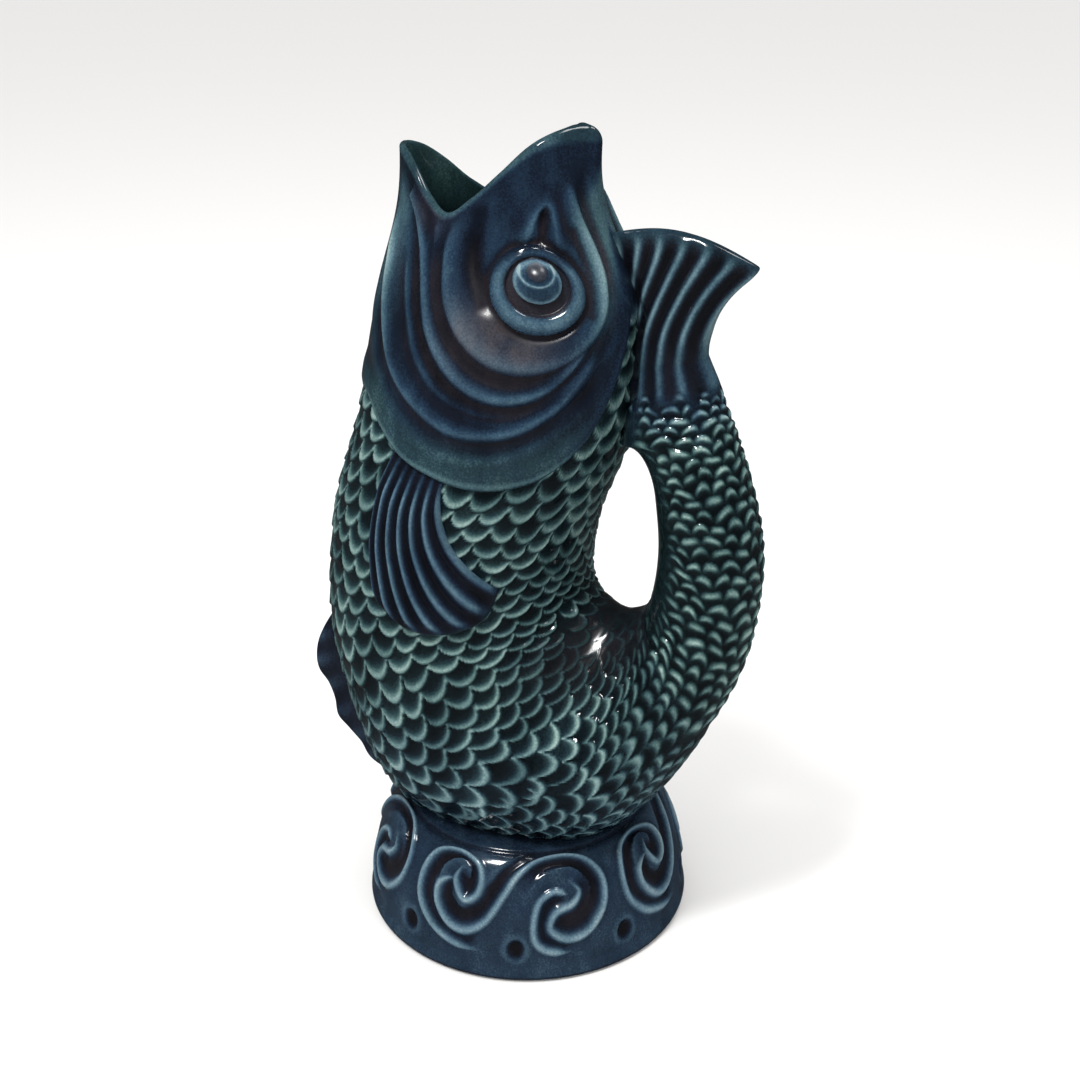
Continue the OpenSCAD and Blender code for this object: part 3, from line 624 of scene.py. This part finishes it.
def head_relief(place, side):
    """Height of the head's folds above its skin, in mm, and how near each point is to a crest. A fold is a ridge
    along a line on the unrolled head, a bell curve of the distance that is wide towards the eye and steep away from
    it, with a shallow trough beyond; a groove is a bell curve downwards; a trough rings the eye."""
    x, y = side * mm_per_degree, place * rib_steps * mm_per_rib
    up, down, crest = np.zeros(place.shape), np.zeros(place.shape), np.zeros(place.shape)
    for rise, width, paleness, corners in head_folds:
        d, share, inner = from_line(x, y, np.array(corners) * [mm_per_degree, mm_per_rib])
        fade = ease(-0.03, 0.12, share) * ease(1.03, 0.88, share)
        towards = inner > 0
        up = np.maximum(up, rise * fade * bell(d / (width * np.where(towards, fold_inner_w, fold_outer_w))))
        trough = bell((d - fold_trough_at * width) / width) * ~towards
        down = np.minimum(down, -fold_trough * rise * fade * trough)
        pale_w = width * np.where(towards, crest_inner_w, crest_outer_w)
        crest = np.maximum(crest, fade * paleness * bell(d / pale_w))
    for sink, width, corners in head_grooves:
        d = from_line(x, y, np.array(corners) * [mm_per_degree, mm_per_rib])[0]
        down = np.minimum(down, -sink * bell(d / width))
    from_eye = np.hypot(x - eye_angle * mm_per_degree, (y - eye_rib * mm_per_rib) / eye_squash)
    clear = ease(eye_seat_r - 2, eye_seat_r + 1.5, from_eye)
    seat = bell((from_eye - eye_seat_r) / eye_seat_w)
    return (up + down) * clear - eye_seat_depth * seat, crest * clear * (1 - seat)


angle = (np.arange(head_columns) + 0.5) * 360 / head_columns
near = from_back(angle)
rim, gill = round_the_fish(rim_shares, angle), round_the_fish(gill_shares, angle)
nose, hood = ease(50, 24, near), ease(80, 40, near)
rim_rib = rib(np.array(0.0))
lip_fill = nose_lip_t - (rim_rib[0] - rim_rib[2]) / 2 * (1 - np.cos(np.radians(near)))
lip_fill = lip_fill / np.cos(np.radians(np.minimum(near, 60)))
lip_thick = lip_t + (hood_lip_t - lip_t) * hood
lip_thick = lip_blend * np.logaddexp(lip_thick / lip_blend, lip_fill / lip_blend)
lip_round = rim_round_share * (lip_rise + hood_rise * hood + nose_rise * nose)
share = np.linspace(0, 1, head_rows)[:, None]
place = rim + lip_round + (gill - rim - lip_round) * share
ANGLE = np.broadcast_to(angle, place.shape)
side = from_back(ANGLE)
half = head_columns // 2
relief, crest = (np.concatenate([f, f[:, ::-1]], 1) for f in head_relief(place[:, :half], side[:, :half]))
from_rim = ease(0.0, 0.08, share) * np.where(side > 132, ease(0.0, 0.30, share), 1)
relief, crest = relief * from_rim, crest * from_rim
gill_edge = ease(0.88, 0.96, share) * np.sqrt(np.clip(1 - ((share - gill_line) / gill_edge_w).clip(0) ** 2, 0, 1))
gill_edge = gill_edge * ease(4, 24, side)
lift = relief * (1 - ease(0.90, 0.97, share)) + gill_lip * gill_edge
outer = skin(place, ANGLE, -lift)
seam = skin(gill[None], angle[None], gill_tuck)
mouth_share = np.linspace(1, 0, mouth_rows)[:, None]
mouth_place = rim + lip_round + (gill - rim - lip_round) * mouth_share
mouth_depth = wall + (lip_thick - wall) * ease(0.30, 0.0, mouth_share)
mouth = skin(mouth_place, np.broadcast_to(angle, mouth_place.shape), mouth_depth)
lip_turn = np.linspace(np.pi, 0, lip_rows + 2)[1:-1, None]
lip_place = rim + lip_round * (1 - np.sin(lip_turn))
lip = skin(lip_place, np.broadcast_to(angle, lip_place.shape), lip_thick / 2 * (1 - np.cos(lip_turn)))
rows = np.concatenate([outer, seam, mouth, lip])
below_rim = np.concatenate([place, gill[None], mouth_place, lip_place]) - rim
rows[..., 1] *= 1 - nose_pinch * ease(nose_pinch_to, nose_pinch_from, near) * ease(nose_pinch_share, 0.0, below_rim)
proud = stands_out(lift, head_pool_passes)
plate = ease(0.82, 0.93, share) * ease(155, 125, side) * ease(22, 45, side)
# The cheek boss: its brown is the glaze's own, but its paleness, strongest in the middle, is partly painted highlight.
mm_round, mm_along = side * mm_per_degree, place * rib_steps * mm_per_rib
from_boss = np.hypot(mm_round - boss_at[0] * mm_per_degree, mm_along - boss_at[1] * mm_per_rib)
from_low_boss = np.hypot((mm_round - low_boss_at[0] * mm_per_degree) / low_boss_long,
                         mm_along - low_boss_at[1] * mm_per_rib)
boss = np.maximum(bell(from_boss / boss_r), bell(from_low_boss / low_boss_r))
rim_line = ease(0.022, 0.0, share) * (1 - nose)
# Painted sheen: a broad pale band running down the head's side under the lower lip.
jaw_sheen = bell((side - jaw_angle) / jaw_w) * ease(0.02, 0.15, share) * ease(0.75, 0.50, share)
nape = ease(46, 20, side) * ease(0.08, 0.30, share) * ease(0.85, 0.6, share)
thin = head_tone + head_pool_tone * np.tanh(proud / pool_depth) + fold_tone * crest + rim_tone * rim_line
thin = thin + plate_tone * plate + boss_glaze_and_highlight * boss + jaw_sheen_tone * jaw_sheen + nape_tone * nape
thin = thin + gill_tone * bell((share - gill_line) / gill_line_w) * ease(25, 50, side)
sea = plate_sea * plate + rim_sea * rim_line + throat_sea * ease(110, 150, side) + nape_sea * nape
# Painted reflection: a brown strip on the outer face of the lower lip, just below the rim.
strip = bell((side - strip_angle) / strip_w) * ease(0.16, 0.04, share)
warm = pool_warm * ease(0.0, -0.5, proud) * ease(0.10, 0.30, share) * (1 - plate)
warm = np.clip(warm + boss_warm * boss + lip_reflection_brown * strip, 0, 1)
hidden = np.zeros((1 + mouth_rows + lip_rows, head_columns))
# Painted shade and light: the mouth's inner wall is painted darkest deep inside and paler towards the rim, where light
# gets in.
mouth_shade_ramp = mouth_tone + mouth_rim_light * np.linspace(0, 1, mouth_rows) ** 2
rest = np.concatenate([[hidden_tone], mouth_shade_ramp, np.linspace(*lip_tones, lip_rows)])[:, None]
thin = np.concatenate([thin, hidden + rest - nose_shade * nose])
rest = np.concatenate([np.ones(1 + mouth_rows), np.linspace(*lip_seas, lip_rows)])[:, None]
sea = np.concatenate([sea, hidden + rest])
head = sew("head_folds", rows, looped=True, thin=thin, sea=sea, warm=np.concatenate([warm, hidden]))
place_piece(head, blue_glaze, "blue_glaze", "head")

# Tail handle: the hollow tail that bends up behind the back, cast with the body; its scales lie
# flatter than the body's, and its inner face in the handle's eye is smooth, where fingers go.
tail_columns = 240
tail_rows = 310
tail_hollow_share = 0.9545
fin_rays_low, fin_rays_high = 4.0, 6.4
fin_ray_h, ray_middle = 1.3, 0.7
fin_root_from, fin_root_to = 10.52, 10.70
ray_from, ray_to, ray_start = 10.58, 10.75, 0.6
ray_tone, ray_sharp, ray_hollow, ray_warm = 0.84, 1.7, 0.32, 0.55
tail_in, tail_scale_out, fin_root_out = 0.12, 0.1, 0.5
rag_wave, rag_ripple = 0.07, 0.05
tail_tone, fin_root_tone, tail_blue = 0.17, 0.05, 0.8
angle = (np.arange(tail_columns) + 0.5) * 360 / tail_columns
inner_place = np.linspace(tail_hollow_share, tail_joint_share, inner_rows)[:, None] + 0 * angle
inner = skin(inner_place, np.broadcast_to(angle, inner_place.shape), wall)
place = np.linspace(tail_joint_share, 1, tail_rows)[:, None] + 0 * angle
ANGLE = np.broadcast_to(angle, place.shape)
high, pale, cover = scales(place, ANGLE)
ragged = place * rib_steps + rag_wave * np.sin(np.radians(9 * ANGLE))
ragged = ragged + rag_ripple * np.sin(np.radians(14 * ANGLE) + 1)
fin_root = ease(fin_root_from, fin_root_to, ragged)
cover = cover * (1 - fin_root)
across = (1 - np.cos(np.radians(ANGLE))) / 2
wave = (1 + np.cos(2 * np.pi * fin_rays_low * across)) / 2
ray = ease(ray_from, ray_to, place * rib_steps) * ray_start
depth = (tail_scale_depth * (1 - high) - tail_scale_out) * cover + tail_in * (1 - fin_root)
depth = depth + fin_ray_h * ray * (ray_middle - wave)
outer = skin(place, ANGLE, np.maximum(depth, tail_in - fin_root_out * fin_root))
hidden = np.zeros((inner_rows, tail_columns))
plain = tail_tone + fin_root_tone * ray / ray_start + ray_tone * ray * (wave**ray_sharp - ray_hollow)
thin = np.concatenate([hidden + inside_tone, pale * cover + plain * (1 - cover)])
sea = np.concatenate([hidden + 1, 1 - tail_blue * ease(10.1, fin_root_to, ragged)])
warm = np.concatenate([hidden, ray_warm * ray * (1 - wave)])
tail = sew("tail_scales", np.concatenate([inner, outer]), thin=thin, sea=sea, warm=warm)
place_piece(tail, green_glaze, "green_glaze", "tail_handle")

# Tail fin: a fan of clay with hollows pressed between its rays on each face, luted to the tail's
# end and along the fish's back; its thick top edge is wiped round before glazing.
fin_back_from, fin_back_to = 0.2218, 0.1164
fin_h = 27.0
fin_reach = 16.8
fin_crown = 5.0
fin_edge_t, fin_edge_swell = 3.6, 0.4
fin_swing = 0.4
fin_tip_r, fin_tip_from = 4.2, 0.80
fin_seat, fin_seat_w, fin_seat_thin = -2.0, (1.8, 6.0), 0.7
fin_edge_from = 0.92
fin_tone, fin_edge_highlight, fin_sea, fin_edge_sea = 0.22, 0.16, 0.35, 0.1
fin_columns = 400
fin_rows = 130


def fan(t, a):
    """Tail fin: at height share t the section is a flat loop from the fish's back to the free edge, whose top corner
    is rounded off. The cosine of the angle a runs across; the middle of the top is crowned."""
    end, back = rib(np.array(1.0)), rib(fin_back_from + (fin_back_to - fin_back_from) * t)
    k = (1 - np.cos(a)) / 2
    corner = fin_tip_r * (1 - np.sqrt(1 - ((t - fin_tip_from) / (1 - fin_tip_from)).clip(0, 1) ** 2))
    reach = fin_reach * t * t * (1 + (t - 1) * fin_swing) - corner
    seat = back[..., 0] + fin_seat
    x = seat + (end[2] + reach - seat) * k
    z = back[..., 1] + (end[3] + fin_h * t - back[..., 1]) * k + fin_crown * t * t * np.sin(np.pi * k)
    return x, z, k, x - seat


t = np.linspace(0, 1, fin_rows)[:, None]
a = (np.arange(fin_columns) + 0.5) * 2 * np.pi / fin_columns + 0 * t
t = t + 0 * a
x, z, k, from_seat = fan(t, a)
root_t = rib(np.array(1.0))[4]
half_t = root_t + (fin_edge_t / 2 + fin_edge_swell - root_t) * t
count = fin_rays_low + (fin_rays_high - fin_rays_low) * ease(0.15, 0.95, t)
wave = (1 + np.cos(2 * np.pi * count * (1 - k))) / 2
ray = (ray_start + (1 - ray_start) * ease(0.0, 0.3, t)) * ease(1.0, 0.84, t)
half_t = half_t + fin_ray_h * ray * (wave - ray_middle)
half_t = half_t * (1 - fin_seat_thin * ease(0.08, 0.40, t) * ease(fin_seat_w[1], fin_seat_w[0], from_seat))
half_t = half_t * np.sqrt(np.clip(1 - ((t - fin_edge_from) / (1 - fin_edge_from)).clip(0) ** 2, 0.015, 1))
blunt = 1 + ease(0.0, 0.3, t) * np.where(k < 0.5, 0.5 * (1 - 2 * k), 0.4 * (1 - 2 * k))
rows = np.stack([x, -half_t * np.sign(np.sin(a)) * np.abs(np.sin(a)) ** blunt, z], -1)
tail_end = skin(np.ones(a.shape), np.degrees(a), fin_ray_h * ray_start * (ray_middle - wave))
rows = tail_end + (rows - tail_end) * ease(0.0, 0.12, t)[..., None]
top_edge = ease(0.84, 0.95, t)
# Painted highlight: the fin's thick top edge is painted paler, standing in for the glints along it.
thin = fin_tone + ray_tone * ray * (wave**ray_sharp - ray_hollow) + fin_edge_highlight * top_edge
warm = ray_warm * ray * (1 - wave)
fin = sew("tail_fin_rays", rows, thin=thin, sea=fin_sea + fin_edge_sea * top_edge, warm=warm)
place_piece(fin, blue_glaze, "blue_glaze", "tail_fin")

# Side fins: two paddles of clay pressed in a mould with seven rays, laid on the flanks with slip
# so that their roots tuck under the gill cover and their free ends sweep back.
side_fin_root_angles = [110, 84]
side_fin_end_shares = [0.4018, 0.4273, 0.4400, 0.4375, 0.4110]
side_fin_end_angles = [99, 85, 71, 56, 44.5]
side_fin_t = 1.5
side_fin_ray_h = 1.7
side_fin_rays = 7
side_fin_bend = 1.6
side_fin_corner_from, side_fin_corner_cut = 0.72, 0.07
side_fin_seat = 1.4
side_fin_tone, side_ray_tone, side_edge_tone, side_fin_sea, side_fin_warm = 0.03, 0.68, 0.10, 0.05, 0.2
side_fin_columns = 150
side_fin_rows = 120


def paddle(t, q):
    """Place and angle on the fish's skin for a share t from root to tip and q across from front to back; the angle
    moves late along the way, so the rays leave the root straight and then bend back. The back corner is rounded."""
    root = side_fin_root_angles[0] + (side_fin_root_angles[1] - side_fin_root_angles[0]) * q
    start = round_the_fish(gill_shares, root) - 0.004
    corner = ((q - side_fin_corner_from) / (1 - side_fin_corner_from)).clip(0)
    t = t * (1 - side_fin_corner_cut * corner**2)
    place = start + (along(side_fin_end_shares, q) - start) * t
    angle = root + (along(side_fin_end_angles, q) - root) * t**side_fin_bend
    return place, angle


for name, sign in (("left", 1), ("right", -1)):
    q = np.linspace(1, 0, side_fin_columns)
    q = np.concatenate([q, q[::-1]]) if sign > 0 else np.concatenate([q[::-1], q])
    t = np.linspace(0, 1, side_fin_rows)[:, None]
    q, t = q + 0 * t, t + 0 * q
    top = np.broadcast_to(np.arange(2 * side_fin_columns) < side_fin_columns, q.shape)
    place, angle = paddle(t, q)
    wave = (1 + np.cos(2 * np.pi * (side_fin_rays - 1) * q)) / 2
    edge = np.minimum(np.minimum(q, 1 - q) / 0.06, (1 - t) / 0.05).clip(0, 1)
    round_edge = np.sqrt(1 - (1 - edge) ** 2)
    ray = side_fin_ray_h * wave**0.9 * ease(1.0, 0.86, t)
    lift = (scale_out + round_edge * (side_fin_t + ray)) * ease(0.0, 0.26, t) - 0.6 * ease(0.10, 0.0, t)
    rows = skin(place, sign * angle, -np.where(top, lift, -side_fin_seat))
    pale = side_ray_tone * wave**1.6 * ease(1.02, 0.9, t) * (0.3 + 0.7 * ease(0.0, 0.2, t))
    pale = side_fin_tone + pale + side_edge_tone * bell((edge - 0.5) / 0.3)
    warm = np.where(top, side_fin_warm * (1 - wave), 0)
    thin = np.where(top, pale, hidden_tone)
    paddle_fin = sew(name + "_side_fin_rays", rows, thin=thin, sea=side_fin_sea, warm=warm)
    place_piece(paddle_fin, blue_glaze, "blue_glaze", name + "_side_fin")

# Belly fins: a pair of low lobed fins under the belly, each pinched from a strip of clay between
# finger and thumb, which leaves it thin and wavy, pressed on with slip and glazed blue.
belly_fin_from, belly_fin_to = 0.4327, 0.5291
belly_fin_angle = 160.0
belly_fin_h = 10.5
belly_fin_t = 5.0
belly_fin_shares = [0.08, 0.45, 0.76, 0.95, 1, 0.84, 0.82, 0.9, 0.72, 0.55, 0.52, 0.34, 0.08]
belly_fin_waves, belly_fin_in = 7, 0.4
belly_fin_tone, belly_wave_tone, belly_fin_sea, belly_fin_warm = 0.16, 0.3, 0.1, 0.2
belly_fin_rows = 120
belly_fin_columns = 48
for name, sign in (("left", 1), ("right", -1)):
    t = np.linspace(0, 1, belly_fin_rows)[:, None]
    v = np.linspace(-1, 1, belly_fin_columns) + 0 * t
    t = t + 0 * v
    place = belly_fin_from + (belly_fin_to - belly_fin_from) * t
    spread = np.degrees(np.arcsin(belly_fin_t / 2 / rib(place)[..., 4]))
    rise = 1 - np.abs(v) ** 2.2
    wave = (1 + np.cos(2 * np.pi * belly_fin_waves * t)) / 2
    wide = np.sign(v) * (0.18 + 0.82 * (1 - rise)) * (1 - 0.35 * rise * (1 - wave)) * ease(0, 0.08, np.abs(v))
    height = (belly_fin_h + belly_fin_in) * along(belly_fin_shares, t) * rise - belly_fin_in
    rows = skin(place, sign * belly_fin_angle + wide * spread, -height)
    thin = belly_fin_tone + belly_wave_tone * wave * rise
    lobe = sew(name + "_belly_fin_rays", rows, thin=thin, sea=belly_fin_sea, warm=belly_fin_warm)
    place_piece(lobe, blue_glaze, "blue_glaze", name + "_belly_fin")

# Eyes: turned clay buttons of ring, moat and ball with a pupil on top, set on the head with slip;
# they look up, so moat, ball and pupil each sit higher in the ring than the last.
ring_r = 12.8
moat_r, moat_up = 8.2, 1.2
ball_r, ball_up = 6.5, 2.5
pupil_r, pupil_up = 4.6, 6.1
spot_r, spot_up = 2.7, 5.9
ring_h, ball_h, pupil_h, spot_h = 1.7, 3.8, 0.5, 0.8
eye_floor, eye_seat_in, eye_back = 0.25, 0.9, 1.6
slot_w, slot_share, brow_share = 2.2, 0.55, 0.45
eye_tone, ring_tone, brow_shade, eye_sea = 0.30, 0.36, 0.22, 0.12
ball_tone, ball_rim_tone, pupil_rim_tone = 0.14, 0.36, 0.48
moat_warm, spot_brown_and_reflection = 0.95, 0.9
eye_columns = 160
eye_rows = 130


def eye_form(x, y):
    """Height of the eye over the head: a ring between two circles, a dished moat, a ball as a cap of a sphere, the
    pupil as a low step on it and a small dome in that, each round its own centre. x runs round the head, y down it."""
    out, moat = np.hypot(x, y), np.hypot(x, y + moat_up)
    domes = (ball_up, ball_r), (pupil_up, pupil_r), (spot_up, spot_r)
    ball, pupil, spot = (np.hypot(x, y + up) / r for up, r in domes)
    u = (moat - moat_r) / np.maximum(moat - moat_r + ring_r - out, 0.2)
    ring = np.sin(np.pi * np.clip(u, 0, 1) ** 0.7) ** 0.6 * (1 + 0.15 * bell((u - 0.25) / 0.2))
    slot = bell(x / slot_w) * ease(-moat_r + 1.0, -moat_r - 2.0, y)
    brow = ease(-4.0, -10.5, y)
    ring = ring_h * ring * (1 - brow_share * brow) * (1 - slot_share * slot)
    h = np.where(u > -0.05, eye_floor + ring, eye_floor)
    cap = 0.1 + ball_h * np.sqrt(np.clip(1 - ball**2, 0, 1))
    cap = cap + pupil_h * ease(1.04, 0.94, pupil) + spot_h * np.sqrt(np.clip(1 - spot**2, 0, 1))
    h = np.where(ball < 1, np.maximum(h, cap), h)
    return h - eye_seat_in * ease(ring_r - 0.8, ring_r, out), u, ball, pupil, spot, brow


for name, sign in (("left", 1), ("right", -1)):
    r = np.concatenate([np.linspace(0.02, ring_r, eye_rows), [ring_r - 2, 0.02]])[:, None]
    psi = sign * (np.arange(eye_columns) + 0.5) * 2 * np.pi / eye_columns
    x, y = r * np.sin(psi), r * np.cos(psi)
    h, u, ball, pupil, spot, brow = eye_form(x, y)
    h[-2:] = -eye_back
    place = (eye_rib + eye_squash * y / mm_per_rib) / rib_steps
    rows = skin(place, sign * (eye_angle + x / mm_per_degree), -h)
    on_ball = ease(1.02, 0.98, ball)
    on_ring = ease(0.02, 0.12, u) * (1 - on_ball)
    in_moat = (1 - on_ring) * (1 - on_ball)
    thin = eye_tone + on_ring * (ring_tone * bell((u - 0.42) / 0.42) - brow_shade * brow)
    rims = ball_rim_tone * bell((ball - 0.90) / 0.12) + pupil_rim_tone * bell((pupil - 0.98) / 0.10)
    thin = thin + on_ball * (rims + ball_tone)
    # The pupil's small dome is brown, partly its own glaze and partly a painted reflection.
    warm = np.clip(moat_warm * in_moat + spot_brown_and_reflection * on_ball * ease(1.0, 0.85, spot), 0, 1)
    button = sew(name + "_eye_button", rows, thin=thin, sea=eye_sea, warm=warm)
    place_piece(button, blue_glaze, "blue_glaze", name + "_eye")

# Stage: a plain pale table top and the soft light of a bright white room, with two softboxes
# that give the small sharp highlights on the wet-looking glaze. Table and room are dimmed where
# the glaze mirrors them, so that its dark tones stay dark.
table_size, table_rough = 8, 0.8
table_colour, table_mirrored = (0.90, 0.895, 0.89, 1), (0.035, 0.035, 0.035, 1)
room_colour, room_mirrored = (1.0, 0.995, 0.985, 1), 0.03
jug_middle = (0, 0, 0.12)
lens_mm, sensor_mm = 50, 36
camera_place, camera_tilt, camera_turn = (0.19209, -0.37699, 0.31833), 65.72, 26.45
bpy.ops.mesh.primitive_plane_add(size=table_size)
floor = bpy.context.object
floor.name = "table_top"
pale_table = bpy.data.materials.new("pale_table")
pale_table.use_nodes = True
table = pale_table.node_tree
paint = table.nodes["Principled BSDF"]
paint.inputs["Roughness"].default_value = table_rough
ray_kind = table.nodes.new("ShaderNodeLightPath")
shade = table.nodes.new("ShaderNodeMix")
shade.data_type = "RGBA"
shade.inputs[6].default_value = table_colour
shade.inputs[7].default_value = table_mirrored
table.links.new(ray_kind.outputs["Is Glossy Ray"], shade.inputs[0])
table.links.new(shade.outputs[2], paint.inputs["Base Color"])
floor.data.materials.append(pale_table)

world = bpy.data.worlds.new("white_room")
bpy.context.scene.world = world
world.use_nodes = True
room = world.node_tree
sky = room.nodes["Background"]
sky.inputs["Color"].default_value = room_colour
path = room.nodes.new("ShaderNodeLightPath")
dim = room.nodes.new("ShaderNodeMapRange")
dim.inputs["To Min"].default_value = 1.0
dim.inputs["To Max"].default_value = room_mirrored
room.links.new(path.outputs["Is Glossy Ray"], dim.inputs["Value"])
room.links.new(dim.outputs[0], sky.inputs["Strength"])


def softbox(name, place, aim, size, power):
    """A rectangular area light at a place, turned to face an aim point."""
    light = bpy.data.lights.new(name, "AREA")
    light.shape = "RECTANGLE"
    light.size, light.size_y = size
    light.energy = power
    lamp = bpy.data.objects.new(name, light)
    away = np.array(place) - np.array(aim)
    lamp.location = place
    lamp.rotation_euler = (math.atan2(math.hypot(away[0], away[1]), away[2]), 0, math.atan2(away[0], -away[1]))
    bpy.context.scene.collection.objects.link(lamp)


softbox("window", (-0.12, -0.52, 1.15), jug_middle, (0.17, 0.26), 8)
softbox("ceiling", (0.30, 0.10, 1.30), jug_middle, (0.40, 0.25), 3)

camera = bpy.data.objects.new("camera", bpy.data.cameras.new("camera"))
camera.data.lens = lens_mm
camera.data.sensor_width = sensor_mm
camera.location = camera_place
camera.rotation_euler = (math.radians(camera_tilt), 0, math.radians(camera_turn))
bpy.context.scene.collection.objects.link(camera)
bpy.context.scene.camera = camera
bpy.context.scene.view_settings.view_transform = "Standard"
